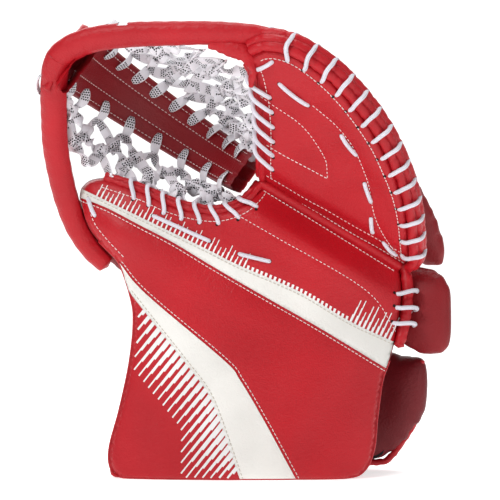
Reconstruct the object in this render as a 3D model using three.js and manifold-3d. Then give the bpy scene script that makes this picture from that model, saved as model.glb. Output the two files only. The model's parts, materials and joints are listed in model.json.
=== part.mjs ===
// Goalie catch glove for the left hand, standing on the bottom edge of its cuff.
// Millimetres, +X to the finger side, +Y from the catching face to the back of the hand, +Z up.
// The origin is the middle of the glove's bounding box, at its lowest level.
//
// Three stiff assemblies meet at the break, the slanted crease that the glove closes on: the thumb side
// with its cuff, the web, and the finger side. Each sheet of leather, foam or plastic is a curved slab
// cut to its outline, the way the real layers are die cut.
import * as THREE from "three";
import { mergeVertices } from "three/addons/utils/BufferGeometryUtils.js";
import Module from "manifold-3d";

const wasm = await Module();
wasm.setup();

// ---- Driving dimensions ----
const ORIGIN_SHIFT = new THREE.Vector3(-6.2, -7.6, 0); // centres the bounding box over the origin
const SKIN = 2.2; // leather with its thin foam backing
const GAP = 0.4; // between sewn or stacked layers
const SEAM = 0.25; // half the gap between two leather panels
const CUFF_FOAM = 15;
const PALM_FOAM = 9;
const PLATE = 2; // polyethylene stiffener
const LINER = 1.8;
const LACE = 1.9; // radius of the round lace
const ROLL = 4.6; // radius of the padded edge rolls
const LEAN = 0.06; // the board leans back as it rises, mm per mm
const WRAP_SPAN = 110; // distance at which a face's curve is measured
const CUFF_WRAP = 17; // how far the board's sides curve back there
const BREAK_DIP = 7; // depth of the crease between palm and finger side, at its ends
const BREAK_FADE = 16; // how fast the crease's dip fades away from it
const BREAK_SAG = 5.5; // how much deeper it is at its middle, so that it folds about a straight line
const OPEN_ANGLE = 35; // how far the finger side is turned forward of the thumb side, degrees
const BREAK_START = [15.6, 232.5]; // crotch end of the crease, in X and Z
const BREAK_SLOPE = -30.7; // the crease's slope in the board's plane, degrees
const BREAK_RUN = 113; // from the crotch to the heel, in X
const BREAK_TURN = 9; // how far the crease turns back towards the heel, degrees
const FINGER_CUP = 7; // how far the finger side's outer edge cups forward
const WEB_SLOPE = 146; // direction of the web's shaft from the crotch, degrees
const WEB_FORWARD = 17; // and how far it turns forward, degrees
const WEB_TILT = 6; // how far the pocket behind it tilts up, degrees
const WEB_START = 20; // from the crotch to the shaft's inner face
const WEB_REACH = 150; // chord of the shaft's arc
const WEB_ARC = 97; // half angle of the shaft's arc, degrees
const WEB_WIDTH = [36, 60]; // shaft at the crotch and at the rim
const WEB_ASIDE = 9; // how far the shaft's middle bows towards the thumb
const WEB_SKIN = 2;
const WEB_CORE = 5;
const RIM = 9; // radius of the padded roll round the pocket's mouth
const PAD = 10; // padding over the back of the hand
const STALL = [9.5, 8]; // outer and inner radius of a finger stall

const rad = THREE.MathUtils.degToRad;

// ---- Colours ----
const RED = 0xb8141f;
const DARK_RED = 0x7c1018;
const WHITE = 0xe9e8e3;
const BLACK = 0x1b1b1d;
const FOAM = 0x3c3d40;
const leather = (color = RED) => new THREE.MeshStandardMaterial({ color, roughness: 0.42, metalness: 0 });
const cloth = (color = BLACK) => new THREE.MeshStandardMaterial({ color, roughness: 0.9, metalness: 0 });
const plastic = (color = WHITE) => new THREE.MeshStandardMaterial({ color, roughness: 0.5, metalness: 0 });
const lace = () => new THREE.MeshStandardMaterial({ color: WHITE, roughness: 0.8, metalness: 0 });

// ---- Solids ----
// A closed geometry as a manifold-3d solid. Winding that a mirrored mapping turned round is put right.
function solidOf(geometry) {
  const bare = new THREE.BufferGeometry();
  bare.setAttribute("position", geometry.getAttribute("position"));
  if (geometry.index) bare.setIndex(geometry.index);
  const merged = mergeVertices(bare, 1e-3);
  const triVerts = new Uint32Array(merged.index.array);
  const vertProperties = new Float32Array(merged.attributes.position.array);
  const made = new wasm.Manifold(new wasm.Mesh({ numProp: 3, vertProperties, triVerts }));
  if (made.volume() > 0) return made;
  const turned = triVerts.map((_, i) => triVerts[i - (i % 3) + [0, 2, 1][i % 3]]);
  return new wasm.Manifold(new wasm.Mesh({ numProp: 3, vertProperties, triVerts: turned }));
}

function geometryOf(solid) {
  const mesh = solid.getMesh();
  const geometry = new THREE.BufferGeometry();
  geometry.setAttribute("position", new THREE.BufferAttribute(mesh.vertProperties, 3));
  geometry.setIndex(new THREE.BufferAttribute(mesh.triVerts, 1));
  return geometry;
}

// A box of nu by nv cells whose corners map(u, v, w) places, with u, v and w from 0 to 1. Its front and its
// back share their diagonals, so that one warped box fits against the next.
function warpedBox(nu, nv, map) {
  const positions = [];
  const index = [];
  const at = (i, j, w) => (w * (nv + 1) + j) * (nu + 1) + i;
  const quad = (a, b, c, d) => index.push(a, b, c, a, c, d);
  for (const w of [0, 1])
    for (let j = 0; j <= nv; j++) for (let i = 0; i <= nu; i++) positions.push(...map(i / nu, j / nv, w));
  for (let j = 0; j < nv; j++) {
    for (let i = 0; i < nu; i++) {
      quad(at(i, j, 0), at(i + 1, j, 0), at(i + 1, j + 1, 0), at(i, j + 1, 0));
      quad(at(i + 1, j + 1, 1), at(i + 1, j, 1), at(i, j, 1), at(i, j + 1, 1));
    }
    quad(at(0, j, 0), at(0, j + 1, 0), at(0, j + 1, 1), at(0, j, 1));
    quad(at(nu, j, 1), at(nu, j + 1, 1), at(nu, j + 1, 0), at(nu, j, 0));
  }
  for (let i = 0; i < nu; i++) {
    quad(at(i, 0, 1), at(i + 1, 0, 1), at(i + 1, 0, 0), at(i, 0, 0));
    quad(at(i, nv, 0), at(i + 1, nv, 0), at(i + 1, nv, 1), at(i, nv, 1));
  }
  const geometry = new THREE.BufferGeometry();
  geometry.setAttribute("position", new THREE.Float32BufferAttribute(positions, 3));
  geometry.setIndex(index);
  return solidOf(geometry);
}

// A smooth line through points, in steps, without its last point so that lines join into a loop.
function line(points, steps) {
  const path = new THREE.SplineCurve(points.map((p) => new THREE.Vector2(...p)));
  return path.getPoints(steps).slice(0, -1);
}

const reversed = (points) => points.slice().reverse();
const point = (x, z) => new THREE.Vector2(x, z);

// A line of points moved sideways, to the left of its direction.
function beside(points, distance) {
  return points.map((p, i) => {
    const before = points[Math.max(i - 1, 0)];
    const along = points[Math.min(i + 1, points.length - 1)].clone().sub(before).normalize();
    return point(p.x - along.y * distance, p.y + along.x * distance);
  });
}

// Distance of a point to a closed outline.
function clearance(p, outline) {
  const nearest = new THREE.Vector3();
  const at = new THREE.Vector3(p.x, p.y, 0);
  const edge = new THREE.Line3();
  const distances = outline.map((start, i) => {
    const end = outline[(i + 1) % outline.length];
    edge.set(new THREE.Vector3(start.x, start.y, 0), new THREE.Vector3(end.x, end.y, 0));
    return edge.closestPointToPoint(at, true, nearest).distanceTo(at);
  });
  return Math.min(...distances);
}

// An outline moved inwards by a distance, with mitred corners. Points that would then lie too close to
// another stretch of the outline, or on one another, are left out.
function inset(outline, distance) {
  const inwards = THREE.ShapeUtils.isClockWise(outline) ? -distance : distance;
  const moved = outline.map((p, i) => {
    const before = p.clone().sub(outline.at(i - 1)).normalize();
    const after = outline[(i + 1) % outline.length].clone().sub(p).normalize();
    const mitre = point(-before.y - after.y, before.x + after.x);
    return mitre.multiplyScalar(inwards / (1 + before.dot(after))).add(p);
  });
  const clear = moved.filter((p) => clearance(p, outline) > distance * 0.97);
  return clear.filter((p, i) => p.distanceTo(clear.at(i - 1)) > 1);
}

// A closed smooth outline through points.
function loop(points, steps) {
  const path = new THREE.CatmullRomCurve3(points.map(([x, z]) => new THREE.Vector3(x, 0, z)), true);
  return path.getSpacedPoints(steps).slice(0, -1).map((p) => point(p.x, p.z));
}

// A slab that follows depth(x, z), from front to front + thickness behind it, cut to an outline in X and Z.
// All slabs share one grid of cells, so that layers on the same face keep their distance.
function slab(outline, depth, front, thickness, cell = 30) {
  const area = new THREE.Box2().setFromPoints(outline).expandByScalar(1);
  area.min.divideScalar(cell).floor();
  area.max.divideScalar(cell).ceil();
  const cells = area.getSize(point());
  const sheet = warpedBox(cells.x, cells.y, (u, v, w) => {
    const x = (area.min.x + u * cells.x) * cell;
    const z = (area.min.y + v * cells.y) * cell;
    return [x, depth(x, z) + front + w * thickness, z];
  });
  const reach = 400;
  const prism = new THREE.ExtrudeGeometry(new THREE.Shape(outline), { depth: reach, bevelEnabled: false });
  prism.translate(0, 0, -reach / 2).rotateX(Math.PI / 2);
  return sheet.intersect(solidOf(prism));
}

// A round bar along a smooth path.
function bar(points, radius, steps, sides = 8) {
  const path = new THREE.CatmullRomCurve3(points.map((p) => (p.isVector3 ? p : new THREE.Vector3(...p))));
  const section = new THREE.Shape();
  for (let i = 0; i < sides; i++) {
    const angle = (i / sides) * 2 * Math.PI;
    section[i ? "lineTo" : "moveTo"](radius * Math.cos(angle), radius * Math.sin(angle));
  }
  return solidOf(new THREE.ExtrudeGeometry(section, { steps, extrudePath: path, bevelEnabled: false }));
}

// A tube with a closed tip, open at the first of its points.
function tube(points, [outer, inner], steps) {
  const path = new THREE.CatmullRomCurve3(points);
  const length = path.getLength();
  const mouth = points[0].clone().addScaledVector(path.getTangent(0), -2);
  const end = path.getPointAt(1 - 3 / length);
  return bar(points, outer, steps).subtract(bar([mouth, ...points.slice(0, -1), end], inner, steps));
}

// The centre line of a lace that winds round a line of points: it reaches wide to either side of the line
// and deep in front of and behind it. place(point, behind) puts a point of the flat line into space.
function winding(flat, turns, wide, deep, place) {
  const path = new THREE.SplineCurve(flat);
  const steps = turns * 8;
  const points = [];
  const squared = (value) => Math.sign(value) * Math.abs(value) ** 0.6;
  for (let i = 0; i <= steps; i++) {
    const along = path.getTangentAt(i / steps);
    const angle = ((i + 0.5) / 8) * 2 * Math.PI;
    const side = wide * squared(Math.cos(angle));
    const at = path.getPointAt(i / steps).add(point(-along.y * side, along.x * side));
    points.push(place(at, deep * squared(Math.sin(angle))));
  }
  return points;
}

// A lace and the wider tool that clears its way through the pieces it pierces.
const laced = (points, radius = LACE) => ({
  lace: bar(points, radius, points.length - 1, 5),
  way: bar(points, radius + 0.8, points.length - 1, 4),
});

// A tie: a short stitch of lace on a face, whose ends go into two holes.
function tie(from, to, place) {
  const at = (share, behind) => place(from.clone().lerp(to, share), behind);
  return laced([at(0, 0.8), at(0.12, -2.4), at(0.5, -3), at(0.88, -2.4), at(1, 0.8)], LACE * 0.85);
}

function node(name, solid, material) {
  const mesh = new THREE.Mesh(geometryOf(solid), material);
  mesh.name = name;
  return mesh;
}

// A group whose local X runs along, whose local Y points back and whose local Z is what is left.
function frameAt(origin, along, back) {
  const group = new THREE.Group();
  group.position.copy(origin);
  const up = new THREE.Vector3().crossVectors(along, back);
  group.quaternion.setFromRotationMatrix(new THREE.Matrix4().makeBasis(along, back, up));
  group.updateMatrix();
  return group;
}

// ---- The three frames ----
const across = (direction, along) => direction.addScaledVector(along, -direction.dot(along)).normalize();
function heading(slope, turn) {
  const level = Math.cos(rad(turn));
  return new THREE.Vector3(
    Math.cos(rad(slope)) * level,
    Math.sin(rad(turn)),
    Math.sin(rad(slope)) * level,
  );
}

// Distance of a point of the board above the crease, negative on the palm.
const aboveBreak = (x, z) =>
  (z - BREAK_START[1]) * Math.cos(rad(BREAK_SLOPE)) - (x - BREAK_START[0]) * Math.sin(rad(BREAK_SLOPE));

// The thumb side's front face: leans back, curves back at both sides and dips into the crease.
function boardFace(x, z) {
  const share = THREE.MathUtils.clamp((x - BREAK_START[0]) / BREAK_RUN, 0, 1);
  const dip = BREAK_DIP + 4 * BREAK_SAG * share * (1 - share);
  const fade = Math.exp(Math.min(0, aboveBreak(x, z)) / BREAK_FADE);
  return LEAN * z + CUFF_WRAP * (x / WRAP_SPAN) ** 2 + dip * fade;
}
// The finger side's front face, in its own frame: it rises out of the crease and cups forward.
const fingerFace = (x, z) =>
  -BREAK_DIP * (1 - Math.exp(-Math.max(0, z) / BREAK_FADE)) - FINGER_CUP * (z / WRAP_SPAN) ** 2;

const crotch = new THREE.Vector3(BREAK_START[0], boardFace(...BREAK_START), BREAK_START[1]);
const alongBreak = heading(BREAK_SLOPE, BREAK_TURN);
const turnedBack = (angle) =>
  across(new THREE.Vector3(0, 1, 0), alongBreak).applyAxisAngle(alongBreak, rad(angle));
const alongWeb = heading(WEB_SLOPE, -WEB_FORWARD);

const thumbSide = new THREE.Group();
const fingerSide = frameAt(crotch, alongBreak, turnedBack(OPEN_ANGLE));
const web = frameAt(
  crotch.clone().addScaledVector(alongWeb, WEB_START),
  alongWeb,
  across(turnedBack(WEB_TILT), alongWeb),
);

// ---- Outlines of the thumb side, in X and Z ----
const CUFF_LEFT = [[-97, 170], [-87, 141], [-85, 122], [-88, 92], [-96, 54], [-104, 24], [-103, 8],
  [-94, 0]];
const LOWER_STRIPE_LEFT = [[-89, 147], [-42, 89], [-27, 69], [-17, 46], [-1, 0]];
const LOWER_STRIPE_RIGHT = [[-97, 170], [-76, 146], [-14, 94], [-1, 78], [18, 46], [43, 0]];
const CUFF_RIGHT = [[43, 0], [82, 0], [97, 6], [104, 22], [107, 48], [111, 76], [115, 86]];
const UPPER_STRIPE_LOW = [[-129, 222], [-106, 213], [-80, 199.5], [-54, 186], [-25, 168.5], [11, 147.5],
  [60, 119.5], [115, 86]];
const UPPER_STRIPE_TOP = [[-128, 229], [-106, 218.5], [-80, 206], [-54, 193.5], [-25, 179.5], [-2, 168],
  [46, 147], [85, 124], [121, 107]];
const THUMB_OUTSIDE = [[-97, 170], [-113, 187], [-123, 201], [-129, 222]];
const THUMB_TIP = [[-128, 229], [-121, 235], [-109, 237]];
const THUMB_POCKET = [[-109, 237], [-79, 227], [-59, 218], [-39, 212], [-19, 210], [-2, 215], [8, 223],
  [14.6, 232]];
const HEEL = [[126.6, 165.2], [127, 145], [124, 122], [121, 107]];
const EDGE_ROLL = [[-118, 198], [-108, 187], [-93, 169], [-83.5, 141], [-81.5, 122], [-84.5, 92],
  [-92.5, 54], [-100.5, 24], [-99.5, 9], [-93, 3.7], [-40, 3.6], [43, 3.6], [82, 3.6], [95, 9],
  [100.5, 23], [103.5, 48], [107.5, 76], [112, 88]];
const THUMB_PAD = [[-136, 222], [-127, 189], [-113, 173], [-98, 162], [-50, 152], [6, 140], [20, 160],
  [12, 196], [-20, 202], [-60, 212], [-95, 226], [-122, 234]];
const LOWER_PAD = [[46, 206], [100, 180], [140, 166], [163, 158], [167, 128], [165, 100], [150, 95],
  [132, 106], [100, 114], [60, 114], [34, 124], [30, 160], [34, 198]];
const WRIST_FLAP = [[58, 11], [116, 11], [130, 24], [143, 43], [149, 61], [148, 88], [138, 93], [100, 95],
  [62, 94], [52, 88], [49, 50], [51, 16]];
const FLAP_BINDING = [[48, 91], [45, 70], [44, 50], [45.5, 16], [50, 7.5], [60, 4], [88, 3.6], [114, 4],
  [122, 7.5], [134, 20.5], [147, 40], [153.5, 60], [152.5, 90]];

const seams = {
  cuffLeft: line(CUFF_LEFT, 12),
  lowerLeft: line(LOWER_STRIPE_LEFT, 8),
  lowerRight: line(LOWER_STRIPE_RIGHT, 10),
  cuffRight: line(CUFF_RIGHT, 10),
  upperLow: line(UPPER_STRIPE_LOW, 6),
  upperTop: line(UPPER_STRIPE_TOP, 8),
  thumbOutside: line(THUMB_OUTSIDE, 4),
  thumbTip: line(THUMB_TIP, 3),
  pocket: line(THUMB_POCKET, 12),
  heel: line(HEEL, 4),
};

// Open lines drop their last point, so a reversed line starts at its own end.
const back = (name, points) => [point(...points.at(-1)), ...reversed(seams[name]).slice(0, -1)];

const cornerOutline = [
  ...seams.cuffLeft.filter((p) => p.y < 146),
  point(-94, 0),
  ...back("lowerLeft", LOWER_STRIPE_LEFT),
];
const lowerStripeOutline = [
  ...seams.lowerLeft,
  point(-1, 0),
  ...back("lowerRight", LOWER_STRIPE_RIGHT),
  point(-97, 170),
];
const centreOutline = [
  ...seams.lowerRight,
  ...seams.cuffRight,
  ...back("upperLow", UPPER_STRIPE_LOW),
  ...back("thumbOutside", THUMB_OUTSIDE),
];
const upperStripeOutline = [
  ...seams.upperLow,
  point(115, 86),
  ...back("upperTop", UPPER_STRIPE_TOP),
  point(-128, 229),
];
const palmOutline = [
  ...seams.thumbTip,
  ...seams.pocket,
  ...seams.heel,
  ...back("upperTop", UPPER_STRIPE_TOP),
];

// The cuff and the palm as a whole, for the layers under the leather.
const cuffOutline = [
  ...seams.cuffLeft,
  ...seams.cuffRight,
  ...back("upperLow", UPPER_STRIPE_LOW),
  ...back("thumbOutside", THUMB_OUTSIDE),
];
const handOutline = [
  ...seams.upperLow,
  point(115, 86),
  ...back("heel", HEEL),
  ...back("pocket", THUMB_POCKET),
  ...back("thumbTip", THUMB_TIP),
];

// ---- Outlines of the finger side: X along the crease from the crotch, Z across it ----
const FINGER_POCKET = [[0, 1], [-19, 36], [-37, 65], [-55, 87], [-64, 94]];
const FINGER_RIM = [[-64, 94], [-65, 106], [-56, 117], [-38, 123], [-12, 122], [10, 116], [36, 105], [61, 90],
  [85, 71], [103, 53], [119, 32], [131, 14], [133, 4]];
const UPPER_SHELL = [[-40, 92], [-6, 94], [32, 83], [68, 66], [98, 50], [128, 34], [155, 15], [170, -3],
  [158, -14], [120, -22], [60, -20], [12, -10], [-8, 30], [-28, 66]];
const fingerOutline = [...line(FINGER_POCKET, 6), ...line(FINGER_RIM, 18), point(133, 4)];

// Padded shells over the back of the hand, as distances back.
const dome = (x, z, [cx, cz], [rx, rz]) => 1 - ((x - cx) / rx) ** 2 - ((z - cz) / rz) ** 2;
const upperShellFace = (x, z) => 34 + 22 * dome(x, z, [60, 35], [125, 100]);
const lowerPadFace = (x) => 67 - 24 * ((x - 80) / 88) ** 2;
const wristFlapFace = (x) => 81 - 22 * ((x - 88) / 64) ** 2;
const thumbPadFace = (x, z) => boardFace(x, z) + 42 + 8 * dome(x, z, [-50, 190], [90, 45]);

const onBoard = (p, behind = 0) => new THREE.Vector3(p.x, boardFace(p.x, p.y) + behind, p.y);
const onFinger = (p, behind = 0) => new THREE.Vector3(p.x, fingerFace(p.x, p.y) + behind, p.y);
const toFinger = (p) => p.applyMatrix4(fingerSide.matrix.clone().invert());

const foamFront = SKIN + GAP;
const plateFront = (foam) => foamFront + foam + GAP;
const linerFront = (foam) => plateFront(foam) + PLATE + GAP;

// ---- Thumb side ----
// Five leather panels; the laces' ways are cut through them.
function boardPanels(ways) {
  const panels = [
    ["corner_panel", cornerOutline, leather()],
    ["lower_white_stripe", lowerStripeOutline, leather(WHITE)],
    ["centre_panel", centreOutline, leather()],
    ["upper_white_stripe", upperStripeOutline, leather(WHITE)],
    ["palm_panel", palmOutline, leather()],
  ];
  for (const [name, outline, material] of panels) {
    const panel = slab(inset(outline, SEAM), boardFace, 0, SKIN);
    thumbSide.add(node(name, wasm.Manifold.difference([panel, ...ways]), material));
  }
}

function boardLayers() {
  thumbSide.add(
    node("cuff_foam", slab(inset(cuffOutline, 7), boardFace, foamFront, CUFF_FOAM), cloth(FOAM)),
    node("cuff_plate", slab(inset(cuffOutline, 14), boardFace, plateFront(CUFF_FOAM), PLATE), plastic()),
    node("cuff_liner", slab(inset(cuffOutline, 7), boardFace, linerFront(CUFF_FOAM), LINER), cloth()),
    node("palm_foam", slab(inset(handOutline, 12), boardFace, foamFront, PALM_FOAM), cloth(FOAM)),
    node("palm_plate", slab(inset(handOutline, 18), boardFace, plateFront(PALM_FOAM), PLATE), plastic()),
  );
}

function boardEdges() {
  const pocket = beside(line(THUMB_POCKET, 14), 3.2);
  const heel = [[133.5, 160], [135, 145], [132, 122], [129.5, 110]];
  const edge = EDGE_ROLL.map(([x, z]) => onBoard(point(x, z), SKIN + GAP + 2.4));
  thumbSide.add(
    node("cuff_edge_roll", bar(edge, 2.3, 34, 6), leather()),
    node("pocket_edge_binding", bar(pocket.map((p) => onBoard(p, 2.5)), 2.8, 14, 6), leather()),
    node("heel_roll", bar(heel.map(([x, z]) => onBoard(point(x, z), 6)), ROLL, 8, 6), leather()),
  );
}

// Round laces of the thumb side. The long ones wind over an edge and through its panel.
function boardLaces() {
  const pocket = line(THUMB_POCKET, 14).slice(1, -3);
  const heel = [point(130.5, 153), point(131.5, 140), point(128.5, 120)];
  const laces = [
    ["thumb_pocket_lace", laced(winding(pocket, 8, 8.2, 6.6, (p, behind) => onBoard(p, 2.6 + behind)))],
    ["heel_lace", laced(winding(heel, 3, 10, 9.4, (p, behind) => onBoard(p, 6 + behind)))],
    ["palm_tie_left", tie(point(-70, 207), point(-25, 187), onBoard)],
    ["palm_tie_right", tie(point(-2, 177), point(22, 171), onBoard)],
    ["thumb_tip_tie", tie(point(-120, 219), point(-115, 208), onBoard)],
  ];
  for (const [name, { lace: solid }] of laces) thumbSide.add(node(name, solid, lace()));
  return laces.map(([, { way }]) => way);
}

function backOfHand() {
  const thumb = [[8, 156], [-30, 172], [-75, 193], [-112, 212]];
  const binding = FLAP_BINDING.map(([x, z]) => new THREE.Vector3(x, wristFlapFace(x) + PAD / 2, z));
  const inside = WRIST_FLAP.map((p) => point(...p));
  thumbSide.add(
    node("thumb_stall", tube(thumb.map(([x, z]) => onBoard(point(x, z), 32)), STALL, 8), cloth()),
    node("thumb_back_pad", slab(loop(THUMB_PAD, 22), thumbPadFace, 0, PAD), leather(DARK_RED)),
    node("lower_back_pad", slab(loop(LOWER_PAD, 24), lowerPadFace, 0, PAD), leather(DARK_RED)),
    node("wrist_flap_liner", slab(inset(inside, 6), wristFlapFace, -LINER - GAP, LINER), cloth()),
    node("wrist_flap_pad", slab(loop(WRIST_FLAP, 24), wristFlapFace, 0, PAD), leather(DARK_RED)),
    node("wrist_flap_binding", bar(binding, 2.8, 26, 6), leather()),
  );
}

// The strap crosses the wrist opening, from the flap's edge to a patch on the back of the cuff.
function wristStrap() {
  const patchFront = linerFront(CUFF_FOAM) + LINER + GAP;
  const patch = 1.5;
  const landing = -48;
  const rise = (x) => 43 * THREE.MathUtils.smoothstep(x, landing, 42);
  const strapFace = (x, z) => boardFace(Math.min(x, landing), z) + patchFront + 2 * (patch + GAP) + rise(x);
  const strip = (left, right, low, high) =>
    [[left, low], [right, low], [right, high], [left, high]].map((p) => point(...p));
  const pad = strip(-82, landing, 34, 60);
  thumbSide.add(
    node("strap_loop_patch", slab(pad, boardFace, patchFront, patch), cloth()),
    node("strap_hook_patch", slab(pad, boardFace, patchFront + patch + GAP, patch), cloth(FOAM)),
    node("wrist_strap", slab(strip(-87, 36, 31, 63), strapFace, 0, 2.4, 15), cloth()),
  );
}

// ---- Finger side ----
function fingerLayers(ways) {
  const core = inset(fingerOutline, 12);
  const plate = inset(fingerOutline, 18);
  const panel = slab(inset(fingerOutline, SEAM), fingerFace, 0, SKIN);
  fingerSide.add(
    node("finger_panel", wasm.Manifold.difference([panel, ...ways]), leather()),
    node("finger_foam", slab(core, fingerFace, foamFront, PALM_FOAM), cloth(FOAM)),
    node("finger_plate", slab(plate, fingerFace, plateFront(PALM_FOAM), PLATE), plastic()),
    node("finger_liner", slab(core, fingerFace, linerFront(PALM_FOAM), LINER), cloth()),
    node("upper_back_shell", slab(loop(UPPER_SHELL, 26), upperShellFace, 0, PAD), leather(DARK_RED)),
  );
}

function fingerEdges() {
  const rim = beside(line(FINGER_RIM, 24), 6).slice(1);
  const behind = 1 + 2 * ROLL + GAP;
  const pocket = beside(line(FINGER_POCKET, 10), 3.2).slice(2);
  fingerSide.add(
    node("perimeter_front_roll", bar(rim.map((p) => onFinger(p, 1)), ROLL, 30, 6), leather()),
    node("perimeter_back_roll", bar(rim.map((p) => onFinger(p, behind)), ROLL, 30, 6), leather()),
    node("finger_edge_binding", bar(pocket.map((p) => onFinger(p, 2.5)), 2.8, 10, 6), leather()),
  );
}

function fingerLaces() {
  const rim = beside(line(FINGER_RIM, 40), 3.5).slice(4, -2);
  const pocket = line(FINGER_POCKET, 12).slice(3, -1);
  const laces = [
    ["perimeter_lace", laced(winding(rim, 16, 9.9, 12.8, (p, behind) => onFinger(p, 6 + behind)))],
    ["finger_pocket_lace", laced(winding(pocket, 6, 8.2, 6.6, (p, behind) => onFinger(p, 2.6 + behind)))],
    ["finger_tie_top", tie(point(-37, 95), point(-9, 92), onFinger)],
    ["finger_tie_upper", tie(point(25, 85), point(44, 76), onFinger)],
    ["finger_tie_lower", tie(point(63, 57), point(77, 44), onFinger)],
    ["finger_tie_bottom", tie(point(85, 31), point(94, 19), onFinger)],
    ["break_tie", tie(point(106, 15), point(117, 13), onFinger)],
    ["finger_corner_tie", tie(point(-55, 95), point(-50, 108), onFinger)],
  ];
  for (const [name, { lace: solid }] of laces) fingerSide.add(node(name, solid, lace()));
  return laces.map(([, { way }]) => way);
}

function fingerStalls() {
  const stalls = [
    ["index_stall", [[10, 14], [2, 50], [-10, 98]]],
    ["middle_stall", [[32, 12], [28, 50], [22, 98]]],
    ["ring_stall", [[54, 10], [54, 44], [52, 84]]],
    ["little_stall", [[77, 8], [80, 36], [82, 62]]],
  ];
  for (const [name, points] of stalls) {
    const path = points.map(([x, z]) => new THREE.Vector3(x, 23.5, z));
    fingerSide.add(node(name, tube(path, STALL, 6), cloth()));
  }
}

// ---- Web: a curved shaft from the crotch to the pocket's mouth, and its crossbar behind the padded rim ----
const arcRadius = WEB_REACH / 2 / Math.sin(rad(WEB_ARC));
const shaftWidth = (u) => THREE.MathUtils.lerp(...WEB_WIDTH, u);

// A point of the shaft: u along its arc from the crotch, side from its middle, out from its inner face.
function onShaft(u, side, out = 0) {
  const angle = rad(WEB_ARC) * (2 * u - 1);
  const x = WEB_REACH / 2 + (arcRadius + out) * Math.sin(angle);
  const y = (arcRadius + out) * Math.cos(angle) - arcRadius * Math.cos(rad(WEB_ARC));
  return new THREE.Vector3(x, y, side + WEB_ASIDE * Math.sin(Math.PI * u));
}

function webShaft() {
  const layer = (front, thickness) =>
    warpedBox(20, 2, (u, v, w) => onShaft(u, (v - 0.5) * shaftWidth(u), front + w * thickness));
  const behind = WEB_SKIN + GAP;
  const crossbar = warpedBox(1, 6, (u, v, w) => {
    const side = (v - 0.5) * 70;
    return [WEB_REACH + 13 + w * 6 - 4 * (side / 35) ** 6, 2 + u * 18, side];
  });
  web.add(
    node("web_face", layer(0, WEB_SKIN), leather(DARK_RED)),
    node("web_core", layer(behind, WEB_CORE), cloth(FOAM)),
    node("web_back", layer(behind + WEB_CORE + GAP, WEB_SKIN), leather()),
    node("web_crossbar", crossbar, leather()),
  );
}

const RIM_THUMB = [[-124, 46, 180], [-133.5, 38, 203], [-141, 24, 232], [-147, 2, 270]];
const RIM_FINGER = [[-66, -53, 346], [-30, -54, 346], [1, -59, 344]];

function rim() {
  const corner = (beyond, side) => new THREE.Vector3(WEB_REACH + beyond, -12, side).applyMatrix4(web.matrix);
  const thumb = [...RIM_THUMB.map((p) => new THREE.Vector3(...p)), corner(9, 32), corner(18, 12)];
  const mouth = RIM_FINGER.map((p) => new THREE.Vector3(...p));
  const finger = [corner(18, -12), corner(9, -32), ...mouth].map(toFinger);
  thumbSide.add(node("thumb_rim", bar(thumb, RIM, 14, 8), leather()));
  fingerSide.add(node("finger_rim", bar(finger, RIM, 12, 8), leather()));
}

// A net of flat laces between the shaft and an outer line, both as lists of points: rungs and rails of one
// bar each, that bulge back.
function net(inner, outer, bulge) {
  const at = (i, share) => {
    const sag = Math.sin(Math.PI * share);
    return inner[i].clone().lerp(outer[i], share).addScaledVector(bulge, sag);
  };
  const rungs = inner.map((_, i) => bar([0, 0.35, 0.7, 1].map((share) => at(i, share)), 2.6, 3, 4));
  const rails = [0.3, 0.7].map((share) => bar(inner.map((_, i) => at(i, share)), 2.6, 6, 4));
  return wasm.Manifold.union([...rungs, ...rails]);
}

function nets() {
  const ends = [0.2, 0.36, 0.52, 0.66, 0.8, 0.92];
  const shaftEdge = (side) =>
    ends.map((u) => onShaft(u, side * (shaftWidth(u) / 2 + 5.5), 4).applyMatrix4(web.matrix));
  const thumbEnds = [[-28, 224, 6], [-52, 228, 6], [-78, 240, 6], [-104, 247, 6], [-126, 262, -6],
    [-130, 292, -28]];
  const fingerEnds = [[-26, 28], [-40, 48], [-54, 66], [-72, 80], [-92, 84], [-108, 70]];
  const bulge = across(turnedBack(WEB_TILT), alongWeb).multiplyScalar(22);
  const thumbPoints = thumbEnds.map(([x, z, behind]) => onBoard(point(x, z), behind));
  const fingerPoints = fingerEnds.map(([x, z]) => onFinger(point(x, z), 6));
  const fingerBulge = bulge.clone().applyQuaternion(fingerSide.quaternion.clone().invert());
  thumbSide.add(node("thumb_net", net(shaftEdge(1), thumbPoints, bulge), lace()));
  fingerSide.add(node("finger_net", net(shaftEdge(-1).map(toFinger), fingerPoints, fingerBulge), lace()));
}

boardPanels(boardLaces());
boardLayers();
boardEdges();
backOfHand();
wristStrap();
fingerLayers(fingerLaces());
fingerEdges();
fingerStalls();
webShaft();
rim();
nets();

const glove = new THREE.Group();
glove.add(thumbSide, fingerSide, web);
glove.position.copy(ORIGIN_SHIFT);

export default glove;
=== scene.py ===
"""Goalie catch glove for the left hand: leather, stitching, laces, nets and pads over the CAD frame."""
import json
import math

import bpy
import numpy as np
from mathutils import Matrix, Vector
from mathutils.geometry import delaunay_2d_cdt


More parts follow.
